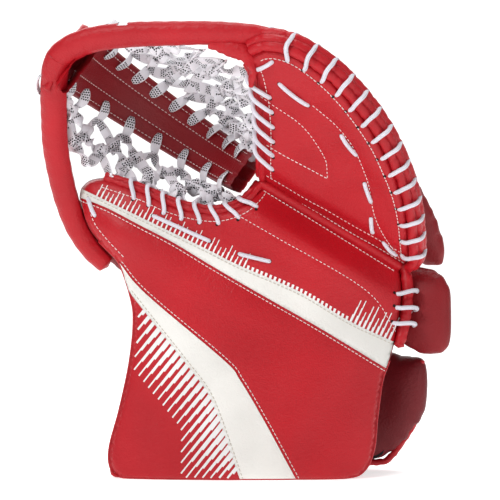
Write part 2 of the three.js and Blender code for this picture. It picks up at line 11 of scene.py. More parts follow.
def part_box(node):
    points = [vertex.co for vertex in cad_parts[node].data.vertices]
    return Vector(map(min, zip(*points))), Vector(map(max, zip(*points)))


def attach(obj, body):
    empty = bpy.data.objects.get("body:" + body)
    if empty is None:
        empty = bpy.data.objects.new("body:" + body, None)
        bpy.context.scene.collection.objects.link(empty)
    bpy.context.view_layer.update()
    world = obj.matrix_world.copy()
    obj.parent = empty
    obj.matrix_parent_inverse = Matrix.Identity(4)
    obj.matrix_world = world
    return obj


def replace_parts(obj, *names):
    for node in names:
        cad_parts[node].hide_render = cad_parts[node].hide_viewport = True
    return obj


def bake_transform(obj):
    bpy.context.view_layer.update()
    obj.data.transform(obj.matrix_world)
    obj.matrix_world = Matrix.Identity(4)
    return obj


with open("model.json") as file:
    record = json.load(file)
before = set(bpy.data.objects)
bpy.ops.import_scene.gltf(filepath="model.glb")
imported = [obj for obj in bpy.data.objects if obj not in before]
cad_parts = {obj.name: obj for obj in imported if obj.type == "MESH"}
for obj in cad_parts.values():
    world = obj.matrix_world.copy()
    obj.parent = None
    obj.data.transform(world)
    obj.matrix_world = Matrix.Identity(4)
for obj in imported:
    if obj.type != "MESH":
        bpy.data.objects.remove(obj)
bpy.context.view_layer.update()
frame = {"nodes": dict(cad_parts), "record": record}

# ---- The model's driving sizes, in millimetres ----
MM = 0.001
SHIFT = np.array([-6.2, -7.6, 0.0])  # from the part's own numbers to the row frame
BREAK_START = (15.6, 232.5)
BREAK_SLOPE, BREAK_TURN = math.radians(-30.7), math.radians(9)
BREAK_DIP, BREAK_SAG, BREAK_RUN = 7.0, 5.5, 113.0
OPEN_ANGLE = math.radians(35)
CUFF_WRAP, LEAN, FINGER_CUP = 17.0, 0.06, 7.0
WEB_SLOPE, WEB_FORWARD, WEB_TILT = math.radians(146), math.radians(17), math.radians(6)
WEB_START, WEB_REACH, WEB_ARC = 20.0, 150.0, math.radians(97)
WEB_WIDTH, WEB_ASIDE = (36.0, 60.0), 9.0
LACE, BINDING = 1.75, 2.7  # radii
rng = np.random.default_rng(7)

# ---- Points and frames ----


def arr(*values):
    return np.array(values, float)


def unit(v):
    return v / np.linalg.norm(v)


def heading(slope, turn):
    return arr(math.cos(slope) * math.cos(turn), math.sin(turn), math.sin(slope) * math.cos(turn))


def across(v, along):
    return unit(v - along * (v @ along))


def turned(v, axis, angle):
    c, s = math.cos(angle), math.sin(angle)
    return v * c + np.cross(axis, v) * s + axis * (axis @ v) * (1 - c)


def above_break(x, z):
    return (z - BREAK_START[1]) * math.cos(BREAK_SLOPE) - (x - BREAK_START[0]) * math.sin(BREAK_SLOPE)


def board_face(x, z):
    """Front of the thumb side."""
    share = np.clip((x - BREAK_START[0]) / BREAK_RUN, 0, 1)
    dip = (BREAK_DIP + 4 * BREAK_SAG * share * (1 - share)) * np.exp(np.minimum(0, above_break(x, z)) / 16)
    return LEAN * z + CUFF_WRAP * (x / 110) ** 2 + dip


def finger_face(x, z):
    """Front of the finger side, in its own frame."""
    return -BREAK_DIP * (1 - np.exp(-np.maximum(0, z) / 16)) - FINGER_CUP * (z / 110) ** 2


CROTCH = arr(BREAK_START[0], float(board_face(*BREAK_START)), BREAK_START[1])
ALONG_BREAK = heading(BREAK_SLOPE, BREAK_TURN)


def break_back(angle):
    return turned(across(arr(0, 1, 0), ALONG_BREAK), ALONG_BREAK, angle)


class Frame:
    """A place whose local X runs along, local Y back, and local Z is what is left."""

    def __init__(self, origin, along, back):
        self.origin = origin
        self.axes = np.array([along, back, np.cross(along, back)])

    def out(self, points):
        return self.origin + np.atleast_2d(points) @ self.axes


BOARD = Frame(arr(0, 0, 0), arr(1, 0, 0), arr(0, 1, 0))
FINGER = Frame(CROTCH, ALONG_BREAK, break_back(OPEN_ANGLE))
ALONG_WEB = heading(WEB_SLOPE, -WEB_FORWARD)
WEB = Frame(CROTCH + WEB_START * ALONG_WEB, ALONG_WEB, across(break_back(WEB_TILT), ALONG_WEB))
POCKET_MIDDLE = arr(-60, 0, 289)


class Face:
    """A curved face over a frame's X and Z plane."""

    def __init__(self, place, depth):
        self.place, self.depth = place, depth

    def at(self, flat, behind=0.0):
        flat = np.atleast_2d(flat)
        x, z = flat.T
        return self.place.out(np.column_stack([x, self.depth(x, z) + behind, z]))

    def normals(self, flat):
        """Unit vectors that point out of the glove's front."""
        flat, e = np.atleast_2d(flat), 0.6
        dx = self.at(flat + (e, 0)) - self.at(flat - (e, 0))
        dz = self.at(flat + (0, e)) - self.at(flat - (0, e))
        return units(np.cross(dx, dz))


class Shaft:
    """The web's curved shaft. Flat points are (share of its arc from the crotch, side)."""

    radius = WEB_REACH / 2 / math.sin(WEB_ARC)

    def at(self, flat, behind=0.0):
        flat = np.atleast_2d(flat)
        angle = WEB_ARC * (2 * flat[:, 0] - 1)
        r = self.radius + behind
        x = WEB_REACH / 2 + r * np.sin(angle)
        y = r * np.cos(angle) - self.radius * math.cos(WEB_ARC)
        return WEB.out(np.column_stack([x, y, flat[:, 1]]))

    def normals(self, flat):
        return units(self.at(flat) - self.at(flat, 1.0))


def shaft_side(u, share):
    """Distance across the shaft of its lower edge (share 1), its middle (0) or its upper edge (-1)."""
    width = WEB_WIDTH[0] + (WEB_WIDTH[1] - WEB_WIDTH[0]) * u
    return share * (width / 2 - 1.5) + WEB_ASIDE * np.sin(math.pi * np.clip(u, 0, 1))


# ---- Curves ----


def units(v):
    return v / np.maximum(np.linalg.norm(v, axis=1), 1e-9)[:, None]


def resample(points, count):
    p = np.array(points, float)
    s = stations(p)
    at = np.linspace(0, s[-1], count)
    return np.column_stack([np.interp(at, s, p[:, k]) for k in range(p.shape[1])])


def stations(points):
    return np.concatenate([[0], np.cumsum(np.linalg.norm(np.diff(points, axis=0), axis=1))])


def spline(points, count):
    """Evenly spaced points on a smooth open curve through points."""
    p = np.array(points, float)
    control = np.vstack([2 * p[0] - p[1], p, 2 * p[-1] - p[-2]])
    dense = []
    for i in range(len(p) - 1):
        a, b, c, d = control[i:i + 4]
        for t in np.linspace(0, 1, 24, endpoint=False):
            dense.append(0.5 * (2 * b + (c - a) * t + (2 * a - 5 * b + 4 * c - d) * t ** 2
                                + (3 * b - a - 3 * c + d) * t ** 3))
    return resample(dense + [p[-1]], count)


def beside(points, distance):
    """A flat line moved sideways, to the left of its direction."""
    d = units(np.gradient(points, axis=0))
    return points + np.column_stack([-d[:, 1], d[:, 0]]) * distance


def gap_to(points, line):
    """Distance of each flat point to a line."""
    best = np.full(len(points), 1e9)
    for a, b in zip(line[:-1], line[1:]):
        ab = b - a
        t = np.clip(((points - a) @ ab) / max(ab @ ab, 1e-9), 0, 1)
        best = np.minimum(best, np.linalg.norm(points - a - t[:, None] * ab, axis=1))
    return best


def inside(points, outline):
    x, z = points[:, 0], points[:, 1]
    hit = np.zeros(len(points), bool)
    for (x1, z1), (x2, z2) in zip(outline, np.roll(outline, -1, axis=0)):
        cross = (z1 > z) != (z2 > z)
        hit ^= cross & (x < (x2 - x1) * (z - z1) / (z2 - z1 + 1e-12) + x1)
    return hit


def closed(line):
    return np.vstack([line, line[:1]])


def chain(*lines):
    """Lines joined end to end into one outline, with doubled points dropped."""
    points = np.vstack([np.atleast_2d(np.array(line, float)) for line in lines])
    keep = [0]
    for i in range(1, len(points)):
        if np.linalg.norm(points[i] - points[keep[-1]]) > 0.4:
            keep.append(i)
    if np.linalg.norm(points[keep[-1]] - points[keep[0]]) < 0.4:
        keep.pop()
    return points[keep]


def smooth(x, low, high):
    t = np.clip((x - low) / (high - low), 0, 1)
    return t * t * (3 - 2 * t)


def ripple(x, z, size):
    """Gentle uneven waves about size millimetres long, between -1 and 1."""
    k = 2 * math.pi / size
    return (np.sin(k * (x + 0.35 * z) + 1.3 * np.sin(k * 0.43 * z + 0.7))
            * np.cos(k * (0.81 * z - 0.27 * x) + 1.1 * np.sin(k * 0.37 * x + 2.1)))


# ---- Meshes ----


def build(name, verts, faces, material, body, marks=None):
    """A mesh piece from points in the part's millimetres. marks are lengths along and across."""
    mesh = bpy.data.meshes.new(name)
    placed = np.asarray(verts) + SHIFT
    placed[:, 2] = np.maximum(placed[:, 2], 0)  # nothing reaches below what the glove stands on
    mesh.from_pydata((placed * MM).tolist(), [], [list(map(int, f)) for f in faces])
    mesh.polygons.foreach_set("use_smooth", [True] * len(mesh.polygons))
    if marks is not None:
        layer = mesh.attributes.new("marks", "FLOAT_VECTOR", "POINT")
        vectors = np.column_stack([marks, np.zeros(len(marks))]).astype(np.float32)
        layer.data.foreach_set("vector", vectors.ravel())
    mesh.update()
    piece = bpy.data.objects.new(name, mesh)
    bpy.context.scene.collection.objects.link(piece)
    piece.data.materials.append(material)
    if body:
        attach(piece, body)
    return piece


class Pile:
    """Vertices and faces that are gathered into one piece."""

    def __init__(self):
        self.verts, self.faces, self.marks, self.count = [], [], [], 0

    def add(self, verts, faces, marks=None):
        self.verts.append(np.asarray(verts, float))
        self.marks.append(np.zeros((len(verts), 2)) if marks is None else marks)
        self.faces += [[i + self.count for i in f] for f in faces]
        self.count += len(verts)
        return self

    def piece(self, name, material, body):
        return build(name, np.vstack(self.verts), self.faces, material, body, np.vstack(self.marks))


def grid_faces(rows, columns, wrap=False):
    last = columns if wrap else columns - 1
    return [(i * columns + j, i * columns + (j + 1) % columns, (i + 1) * columns + (j + 1) % columns,
             (i + 1) * columns + j) for i in range(rows - 1) for j in range(last)]


def frames_along(path, lean=None):
    """Tangents with two steady directions across them. The first follows lean, where that is given."""
    t = units(np.gradient(path, axis=0))
    side = np.zeros_like(path)
    if lean is not None:
        lean = np.broadcast_to(lean, path.shape)
        side = units(lean - t * (lean * t).sum(1)[:, None])
    else:
        side[0] = across(arr(0, 1, 0) if abs(t[0][1]) < 0.8 else arr(1, 0, 0), t[0])
        for i in range(1, len(path)):
            side[i] = across(side[i - 1], t[i])
    return t, side, np.cross(t, side)


def tube(path, radius, sides=12, flat=1.0, lean=None, wrinkle=None):
    """A capped tube. flat is its depth as a share of its width; wrinkle(s, angle) adds to the radius."""
    t, a, b = frames_along(path, lean)
    s = stations(path)
    angle = np.linspace(0, 2 * math.pi, sides, endpoint=False)
    r = np.broadcast_to(np.asarray(radius, float), (len(path),))[:, None] * np.ones(sides)
    if wrinkle:
        r = r + wrinkle(s[:, None], angle[None, :])
    ring = a[:, None] * np.cos(angle)[None, :, None] + b[:, None] * (flat * np.sin(angle))[None, :, None]
    verts = (path[:, None] + ring * r[..., None]).reshape(-1, 3)
    marks = np.column_stack([np.repeat(s, sides), np.tile(angle, len(path))])
    faces = grid_faces(len(path), sides, wrap=True)
    n, end = len(verts), r[0].mean() * 0.45 * min(1, flat)
    verts = np.vstack([verts, path[0] - t[0] * end, path[-1] + t[-1] * end])
    marks = np.vstack([marks, marks[0], marks[n - 1]])
    base = (len(path) - 1) * sides
    faces += [(n, (j + 1) % sides, j) for j in range(sides)]
    faces += [(n + 1, base + j, base + (j + 1) % sides) for j in range(sides)]
    return verts, faces, marks


def ribbon(path, width, thick, lean):
    """A flat lace with soft edges. lean is the direction its flat side looks, one for each point."""
    t, up, side = frames_along(path, lean)
    s = stations(path)
    section = [(-0.5, 0), (-0.42, 0.42), (-0.15, 0.55), (0.15, 0.55), (0.42, 0.42), (0.5, 0), (0.42, -0.42),
               (0.15, -0.55), (-0.15, -0.55), (-0.42, -0.42)]
    width = np.broadcast_to(np.asarray(width, float), (len(path),))
    rows = [path + side * (width * u)[:, None] + up * (thick * v) for u, v in section]
    verts = np.stack(rows, axis=1).reshape(-1, 3)
    n = len(section)
    marks = np.column_stack([np.repeat(s, n), np.outer(width, [u for u, _ in section]).ravel()])
    faces = grid_faces(len(path), n, wrap=True)
    faces += [tuple(range(n))[::-1], tuple((len(path) - 1) * n + i for i in range(n))]
    return verts, faces, marks


def stitches(pile, face, line, pitch=3.4, length=2.7, radius=0.34, behind=0.0, skip=0.0):
    """A row of thread stitches on a face, each a short arched capsule that dives in at both ends."""
    total = stations(face.at(line))[-1]
    count = int((total - 2 * skip) / pitch)
    if count < 1:
        return
    dense = resample(np.column_stack([face.at(line), line]), 8 * count + 1)
    world, flat = dense[:, :3], dense[:, 3:]
    t, n = units(np.gradient(world, axis=0)), face.normals(flat)
    pick = np.arange(count) * 8 + 4
    c, t, n = world[pick] - n[pick] * behind, t[pick], n[pick]
    b = np.cross(t, n)
    rows = [(-1.0, -0.28, 0.45), (-0.72, 0.10, 0.95), (0.0, 0.24, 1.0), (0.72, 0.10, 0.95),
            (1.0, -0.28, 0.45)]  # along, lift and size
    angle = np.linspace(0, 2 * math.pi, 6, endpoint=False)
    verts = []
    for along, lift, size in rows:
        centre = c + t * along * length / 2 + n * lift
        ring = [centre + (n * math.cos(q) + b * math.sin(q)) * radius * size for q in angle]
        verts.append(np.stack(ring, axis=1))
    verts = np.stack(verts, axis=1).reshape(-1, 3)
    one = grid_faces(len(rows), 6, wrap=True) + [tuple(range(5, -1, -1)), tuple(range(24, 30))]
    faces = [[i + 30 * k for i in f] for k in range(count) for f in one]
    pile.add(verts, faces)


def holes(pile, points, normals, radius=1.3):
    """Eyelets where a lace goes through the leather, drawn as dark discs of painted shadow."""
    for p, n in zip(points, normals):
        a = across(arr(0.3, 0.2, 1), n)
        b = np.cross(n, a)
        turns = np.linspace(0, 2 * math.pi, 13)[:-1]
        ring = [p + n * 0.25 + (a * math.cos(q) + b * math.sin(q)) * radius for q in turns]
        pile.add(np.vstack([ring, p + n * 0.45]), [(12, i, (i + 1) % 12) for i in range(12)])


def winding(flat, turns, inner, outer, front, back, slant, place, steps=26):
    """A lace that winds round a flat line: inner and outer reach to its sides, front and back across it.

    slant is how far its outer turns lie ahead along the line, per millimetre of reach."""
    line = resample(flat, turns * steps + 1)
    d = units(np.gradient(line, axis=0))
    side = np.column_stack([-d[:, 1], d[:, 0]])
    angle = np.linspace(0, 2 * math.pi * turns, turns * steps + 1) + math.pi / 8
    c, s = np.cos(angle), np.sin(angle)
    u, v = np.sign(c) * np.abs(c) ** 0.62, np.sign(s) * np.abs(s) ** 0.62
    reach = np.where(u > 0, outer * u, inner * u)
    deep = np.where(v > 0, back * v, front * v)
    spots = line + side * reach[:, None] + d * (slant * reach)[:, None]
    path = np.vstack([place(spot, depth) for spot, depth in zip(spots, deep)])
    entries = spots[[i for i in range(steps // 2 - 2, len(spots), steps)]]
    return path, entries


# ---- Materials ----


class Nodes:
    """A material's node tree, with short calls to add to it."""

    def __init__(self, name, roughness, coat=0.0, sheen=0.0):
        self.material = bpy.data.materials.new(name)
        self.material.use_nodes = True
        self.tree = self.material.node_tree
        self.shader = self.tree.nodes["Principled BSDF"]
        self.set(self.shader, **{"Roughness": roughness, "Coat Weight": coat, "Coat Roughness": 0.3,
                                 "Sheen Weight": sheen, "Sheen Roughness": 0.5, "Specular IOR Level": 0.28})
        self.place = self.add("ShaderNodeTexCoord").outputs["Object"]

    def add(self, kind, links=None, **values):
        node = self.tree.nodes.new(kind)
        for key, value in values.items():
            setattr(node, key, value)
        for key, source in (links or {}).items():
            self.tree.links.new(source, node.inputs[key])
        return node

    @staticmethod
    def set(node, **values):
        for key, value in values.items():
            node.inputs[key].default_value = value

    def noise(self, scale, detail=3.0, roughness=0.5):
        node = self.add("ShaderNodeTexNoise", {"Vector": self.place})
        self.set(node, Scale=scale, Detail=detail, Roughness=roughness)
        return node.outputs["Fac"]

    def cells(self, scale):
        node = self.add("ShaderNodeTexVoronoi", {"Vector": self.place})
        self.set(node, Scale=scale)
        return node.outputs["Distance"]

    def math(self, operation, a, b=0.0):
        node = self.add("ShaderNodeMath", operation=operation)
        for socket, value in zip(node.inputs, (a, b)):
            if isinstance(value, (int, float)):
                socket.default_value = value
            else:
                self.tree.links.new(value, socket)
        return node.outputs[0]

    def marks(self):
        """The piece's own lengths along and across."""
        attribute = self.add("ShaderNodeAttribute", attribute_name="marks")
        split = self.add("ShaderNodeSeparateXYZ", {"Vector": attribute.outputs["Vector"]})
        return split.outputs["X"], split.outputs["Y"]

    def ramp(self, source, stops):
        node = self.add("ShaderNodeValToRGB", {"Fac": source})
        elements = node.color_ramp.elements
        while len(elements) < len(stops):
            elements.new(0.5)
        for element, (at, colour) in zip(elements, stops):
            element.position = at
            element.color = (*colour, 1.0)
        return node.outputs["Color"]

    def bump(self, height, strength, distance_mm, below=None):
        links = {"Height": height}
        if below is not None:
            links["Normal"] = below
        node = self.add("ShaderNodeBump", links)
        self.set(node, Strength=strength, Distance=distance_mm * MM)
        return node.outputs["Normal"]

    def link(self, source, socket):
        self.tree.links.new(source, self.shader.inputs[socket])


def shade(colour, share):
    return tuple(c * share for c in colour)


def leather(name, colour, roughness, coat=0.04, grain=1.0):
    """Split leather: fine pebbles and creases, with soft large variation."""
    n = Nodes(name, roughness, coat)
    low = n.noise(14, 2)
    n.link(n.ramp(low, [(0.3, shade(colour, 0.86)), (0.7, shade(colour, 1.06))]), "Base Color")
    dull = n.add("ShaderNodeMapRange", {"Value": n.noise(45, 3)})
    n.set(dull, **{"To Min": roughness - 0.05, "To Max": roughness + 0.08})
    n.link(dull.outputs[0], "Roughness")
    soft = n.bump(low, 0.25, 5)
    creases = n.bump(n.noise(260, 5, 0.65), 0.55 * grain, 0.8, soft)
    n.link(n.bump(n.cells(720), 0.45 * grain, 0.5, creases), "Normal")
    return n.material


def thread(name, colour):
    n = Nodes(name, 0.75, sheen=0.2)
    n.link(n.ramp(n.noise(300, 2), [(0.3, shade(colour, 0.85)), (0.7, colour)]), "Base Color")
    n.link(n.bump(n.noise(2500, 2), 0.4, 0.1), "Normal")
    return n.material


def braided(name, colour):
    """Round lace with crossing yarns."""
    n = Nodes(name, 0.7, sheen=0.3)
    s, angle = n.marks()
    along = n.math("MULTIPLY", s, 4.2)
    turn = n.math("MULTIPLY", angle, 4.0)
    left = n.math("SINE", n.math("ADD", along, turn))
    right = n.math("SINE", n.math("SUBTRACT", along, turn))
    weave = n.math("MULTIPLY", left, right)
    n.link(n.ramp(weave, [(0.0, shade(colour, 0.80)), (0.45, colour)]), "Base Color")
    n.link(n.bump(weave, 0.55, 0.35), "Normal")
    return n.material


def dotted(name, colour, ink):
    """Flat lace with blocks of small dark dots woven into it."""
    n = Nodes(name, 0.6, sheen=0.2)
    s, v = n.marks()
    rows = n.math("DIVIDE", s, 1.9)
    shifted = n.math("ADD", n.math("DIVIDE", v, 1.9), n.math("MULTIPLY", n.math("FLOOR", rows), 0.5))
    du = n.math("SUBTRACT", n.math("FRACT", rows), 0.5)
    dv = n.math("SUBTRACT", n.math("FRACT", shifted), 0.5)
    apart = n.math("ADD", n.math("MULTIPLY", du, du), n.math("MULTIPLY", dv, dv))
    dot = n.math("LESS_THAN", apart, 0.15)
    block = n.math("GREATER_THAN", n.math("SINE", n.math("MULTIPLY", s, 0.36)), -0.35)
    middle = n.math("LESS_THAN", n.math("ABSOLUTE", v), 3.3)
    shown = n.math("MULTIPLY", n.math("MULTIPLY", dot, block), middle)
    n.link(n.ramp(shown, [(0.0, colour), (1.0, ink)]), "Base Color")
    ribs = n.math("SINE", n.math("MULTIPLY", v, 9.0))
    n.link(n.bump(ribs, 0.3, 0.15, n.bump(n.noise(700, 3), 0.25, 0.3)), "Normal")
    return n.material


def woven(name, colour, pitch_mm=0.9):
    """Cloth with a fine over and under weave."""
    n = Nodes(name, 0.85, sheen=0.3)
    waves = []
    for direction in ("X", "Z"):
        wave = n.add("ShaderNodeTexWave", {"Vector": n.place}, bands_direction=direction)
        n.set(wave, Scale=0.314 / (pitch_mm * MM), Distortion=0.4)
        waves.append(wave.outputs["Fac"])
    weave = n.math("MULTIPLY", waves[0], waves[1])
    n.link(n.ramp(weave, [(0.0, shade(colour, 0.6)), (0.8, colour)]), "Base Color")
    n.link(n.bump(weave, 0.4, 0.3), "Normal")
    return n.material


def plain(name, colour, roughness, grain, strength):
    n = Nodes(name, roughness)
    n.link(n.ramp(n.noise(grain * 0.4, 3), [(0.3, shade(colour, 0.75)), (0.7, colour)]), "Base Color")
    n.link(n.bump(n.cells(grain), strength, 0.3), "Normal")
    return n.material


RED = leather("red_leather", (0.44, 0.006, 0.013), 0.40)
DARK = leather("dark_red_leather", (0.22, 0.004, 0.008), 0.46)
# A darker copy of the red leather, for painted shade: the wrist flap lies in shadow under the lower pad.
SHADED = leather("painted_shade_red_leather", (0.15, 0.004, 0.008), 0.44)
WHITE = leather("white_leather", (0.76, 0.75, 0.71), 0.45, coat=0.08, grain=0.6)
PRINT = leather("white_print", (0.78, 0.77, 0.76), 0.42, coat=0.1, grain=0.6)
THREAD = thread("white_thread", (0.78, 0.70, 0.68))
CREAM = thread("cream_thread", (0.55, 0.50, 0.43))
LACE_WHITE = braided("white_lace", (0.80, 0.78, 0.86))
NET_WHITE = dotted("net_lace", (0.80, 0.78, 0.82), (0.012, 0.012, 0.015))
LINING = woven("black_lining", (0.014, 0.014, 0.016))
WEBBING = woven("black_webbing", (0.03, 0.03, 0.035), pitch_mm=1.6)
FOAM = plain("grey_foam", (0.10, 0.10, 0.11), 0.9, 900, 0.5)
PLATE = plain("white_plate", (0.72, 0.72, 0.70), 0.45, 600, 0.1)
# Near black: painted shadow inside the lace holes.
HOLE = plain("eyelet_shadow", (0.02, 0.002, 0.003), 0.8, 900, 0.1)
BY_SLOT = {"red_leather": RED, "dark_red_leather": DARK, "white_leather": WHITE, "foam": FOAM,
           "liner": LINING, "plate": PLATE, "lace": LACE_WHITE, "hook_tape": FOAM, "webbing": WEBBING}
for part in frame["record"]["subparts"]:
    carried = frame["nodes"][part["node"]]
    carried.data.materials.clear()
    carried.data.materials.append(BY_SLOT[part["material_slot"]])

# ---- The board's outlines and seams, in X and Z ----
SEAM = {name: spline(points, count) for name, points, count in (
    ("cuff_left", [(-97, 170), (-87, 141), (-85, 122), (-88, 92), (-96, 54), (-104, 24), (-103, 8),
                   (-94, 0)], 60),
    ("lower_left", [(-89, 147), (-42, 89), (-27, 69), (-17, 46), (-1, 0)], 60),
    ("lower_right", [(-97, 170), (-76, 146), (-14, 94), (-1, 78), (18, 46), (43, 0)], 70),
    ("cuff_right", [(43, 0), (82, 0), (97, 6), (104, 22), (107, 48), (111, 76), (115, 86)], 50),
    ("upper_low", [(-129, 222), (-106, 213), (-80, 199.5), (-54, 186), (-25, 168.5), (11, 147.5), (60, 119.5),
                   (115, 86)], 80),
    ("upper_top", [(-128, 229), (-106, 218.5), (-80, 206), (-54, 193.5), (-25, 179.5), (-2, 168), (46, 147),
                   (85, 124), (121, 107)], 80),
    ("outside", [(-97, 170), (-113, 187), (-123, 201), (-129, 222)], 24),
    ("tip", [(-128, 229), (-121, 235), (-109, 237)], 10),
    ("pocket", [(-109, 237), (-79, 227), (-59, 218), (-39, 212), (-19, 210), (-2, 215), (8, 223),
                (14.6, 232)], 60),
    ("heel", [(126.6, 165.2), (127, 145), (124, 122), (121, 107)], 24))}
LEFT_OF_STRIPE = SEAM["cuff_left"][SEAM["cuff_left"][:, 1] < 146]
BOARD_PANELS = {
    "corner_panel": (chain(LEFT_OF_STRIPE, SEAM["lower_left"][::-1]), RED),
    "lower_white_stripe": (chain(SEAM["lower_left"], SEAM["lower_right"][::-1]), WHITE),
    "centre_panel": (chain(SEAM["lower_right"], SEAM["cuff_right"], SEAM["upper_low"][::-1],
                           SEAM["outside"][::-1]), RED),
    "upper_white_stripe": (chain(SEAM["upper_low"], SEAM["upper_top"][::-1]), WHITE),
    "palm_panel": (chain(SEAM["tip"], SEAM["pocket"], SEAM["heel"], SEAM["upper_top"][::-1]), RED),
}
BOARD_OUTLINE = chain(SEAM["cuff_left"], SEAM["cuff_right"], SEAM["heel"][::-1], SEAM["pocket"][::-1],
                      SEAM["tip"][::-1], SEAM["outside"][::-1])
BOARD_FREE = np.vstack([SEAM["pocket"][::-1], SEAM["tip"][::-1], SEAM["outside"][::-1], SEAM["cuff_left"],
                        SEAM["cuff_right"], SEAM["heel"][::-1]])
BOARD_SEAMS = [SEAM["lower_left"], SEAM["lower_right"], SEAM["upper_low"], SEAM["upper_top"]]
PALM_ROW = spline([(-6.8, 209.4), (28, 189.5), (97.6, 148.5), (122.5, 114.9)], 70)


def hill(x, z, centre, radii, slope=0.0):
    """1 at the centre, falling smoothly to 0 far from it."""
    c, s = math.cos(slope), math.sin(slope)
    dx, dz = x - centre[0], z - centre[1]
    return np.exp(-(((dx * c + dz * s) / radii[0]) ** 2) - ((-dx * s + dz * c) / radii[1]) ** 2)


def edge_roll(distance, radius):
    """How far a padded edge falls back within radius of its outline."""
    t = np.clip(distance / radius, 0, 1)
    return radius * (1 - np.sqrt(1 - (1 - t) ** 2))


def board_skin(x, z):
    """The sewn leather's front: crowned between the seams and rolled back at the outline."""
    shape = np.shape(x)
    flat = np.column_stack([np.ravel(x), np.ravel(z)])
    x, z = flat.T
    outer = gap_to(flat, BOARD_FREE)
    seam = np.min([gap_to(flat, line) for line in BOARD_SEAMS], axis=0)
    row = gap_to(flat, PALM_ROW)
    crown = 2.4 * (1 - np.exp(-outer / 9)) + 1.0 * (1 - np.exp(-seam / 2.4)) - 0.9 * np.exp(-row / 1.6)
    thumb = 9 * hill(x, z, (-98, 197), (40, 20), -0.6)
    palm = 6 * hill(x, z, (62, 178), (76, 15), BREAK_SLOPE)
    palm -= 2.5 * hill(x, z, (20, 150), (110, 14), BREAK_SLOPE)
    pucker = 0.25 * ripple(x, z, 11) * np.exp(-np.minimum(seam, outer) / 5) + 0.5 * ripple(x, z, 62)
    folds = smooth(-above_break(x, z), 1, 24)  # thinner towards the crease, so that it can close
    crown, palm = crown * (0.2 + 0.8 * folds), palm * folds - 2.5 * (1 - folds)
    return (board_face(x, z) - crown - thumb - palm + pucker + edge_roll(outer, 5)).reshape(shape)


SKIN = Face(BOARD, board_skin)


def panel_mesh(outline, step):
    """Points and triangles that fill an outline, and the count of points on its rim."""
    rim = resample(closed(outline), max(12, int(stations(closed(outline))[-1] / (step * 0.8))))[:-1]
    low, high = rim.min(0), rim.max(0)
    xs, zs = np.arange(low[0], high[0], step), np.arange(low[1], high[1], step * 0.866)
    grid = np.array([(x + (step / 2 if j % 2 else 0), z) for j, z in enumerate(zs) for x in xs])
    grid = grid[inside(grid, rim)]
    grid = grid[gap_to(grid, closed(rim)) > step * 0.55]
    points = [Vector(p) for p in np.vstack([rim, grid])]
    edges = [(i, (i + 1) % len(rim)) for i in range(len(rim))]
    verts, _, faces, *_ = delaunay_2d_cdt(points, edges, [list(range(len(rim)))], 1, 1e-4)
    return np.array([tuple(v) for v in verts]), [list(f) for f in faces], len(rim)


def facing(faces, verts, towards):
    """Faces turned so that the first looks along a direction."""
    a, b, c = (verts[i] for i in faces[0][:3])
    return faces if np.cross(b - a, c - a) @ towards > 0 else [f[::-1] for f in faces]


def panel(name, outline, face, material, body, step=2.2, tuck=2.2, forward=True):
    """A leather panel: its face, and an edge turned under by tuck."""
    flat, faces, rim = panel_mesh(outline, step)
    front = face.at(flat)
    faces = facing(faces, front, -face.place.axes[1] * (1 if forward else -1))
    under = face.at(flat[:rim], tuck)
    n = len(front)
    walls = [(i, (i + 1) % rim, n + (i + 1) % rim, n + i) for i in range(rim)]
    return build(name, np.vstack([front, under]), faces + walls, material, body)


def wall(name, outline, front, back, material, body, bulge=1.5):
    """The padded edge between a front and a back face, as rows round an outline."""
    rim = resample(closed(outline), int(stations(closed(outline))[-1] / 2.5))[:-1]
    outward = rim - beside(closed(rim), 1.0)[:-1]
    outward *= 1 if inside(rim[:1] - outward[:1] * 2, outline)[0] else -1
    rows = []
    start, end = front.depth(*rim.T), back.depth(*rim.T)
    for share in np.linspace(0, 1, 9):
        flat = rim + outward * (bulge * math.sin(math.pi * share)) + outward * -0.4
        y = start + (end - start) * share
        rows.append(front.place.out(np.column_stack([flat[:, 0], y, flat[:, 1]])))
    return build(name, np.vstack(rows), grid_faces(9, len(rim), wrap=True), material, body)


for name, (outline, material) in BOARD_PANELS.items():
    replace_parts(panel(name + "_skin", outline, SKIN, material, "thumb_side"), name)


def board_back(x, z):
    """The lining behind the cuff and the palm."""
    return board_face(x, z) + 13.5 + 7.5 * smooth(-(z - 107 + 0.5 * (x - 60)), -18, 8)


LINING_FACE = Face(BOARD, board_back)
cuff_wall = wall("cuff_gusset", BOARD_OUTLINE, SKIN, LINING_FACE, DARK, "thumb_side")
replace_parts(cuff_wall, "cuff_foam", "palm_foam", "cuff_edge_roll")
lining = panel("cuff_lining", BOARD_OUTLINE, LINING_FACE, LINING, "thumb_side", step=4, tuck=-1,
               forward=False)
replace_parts(lining, "cuff_liner", "cuff_plate", "palm_plate")

# ---- The finger side ----
FINGER_POCKET = [(0, 1), (-19, 36), (-37, 65), (-55, 87), (-64, 94)]
FINGER_RIM = [(-64, 94), (-65, 106), (-56, 117), (-38, 123), (-12, 122), (10, 116), (36, 105), (61, 90),
              (85, 71), (103, 53), (119, 32), (131, 14), (133, 4)]
FINGER_EDGE = spline(FINGER_RIM, 140)
FINGER_POCKET_EDGE = spline(FINGER_POCKET, 60)
FINGER_OUTLINE = chain(FINGER_POCKET_EDGE, FINGER_EDGE)
SMALL_CRESCENT = spline([(-43, 75), (-4, 72), (25, 58), (38, 42)], 70)
SMALL_BASE = resample([(38, 42), (-17, 39)], 40)
LARGE_CRESCENT = spline([(-7, 94), (29, 86), (61, 63), (89, 32), (126, 7)], 90)
CREASE_ROWS = [resample([(-5, 10), (60, 13), (123, 15)], 40), resample([(-1, 3), (70, 4), (132, 5)], 40)]


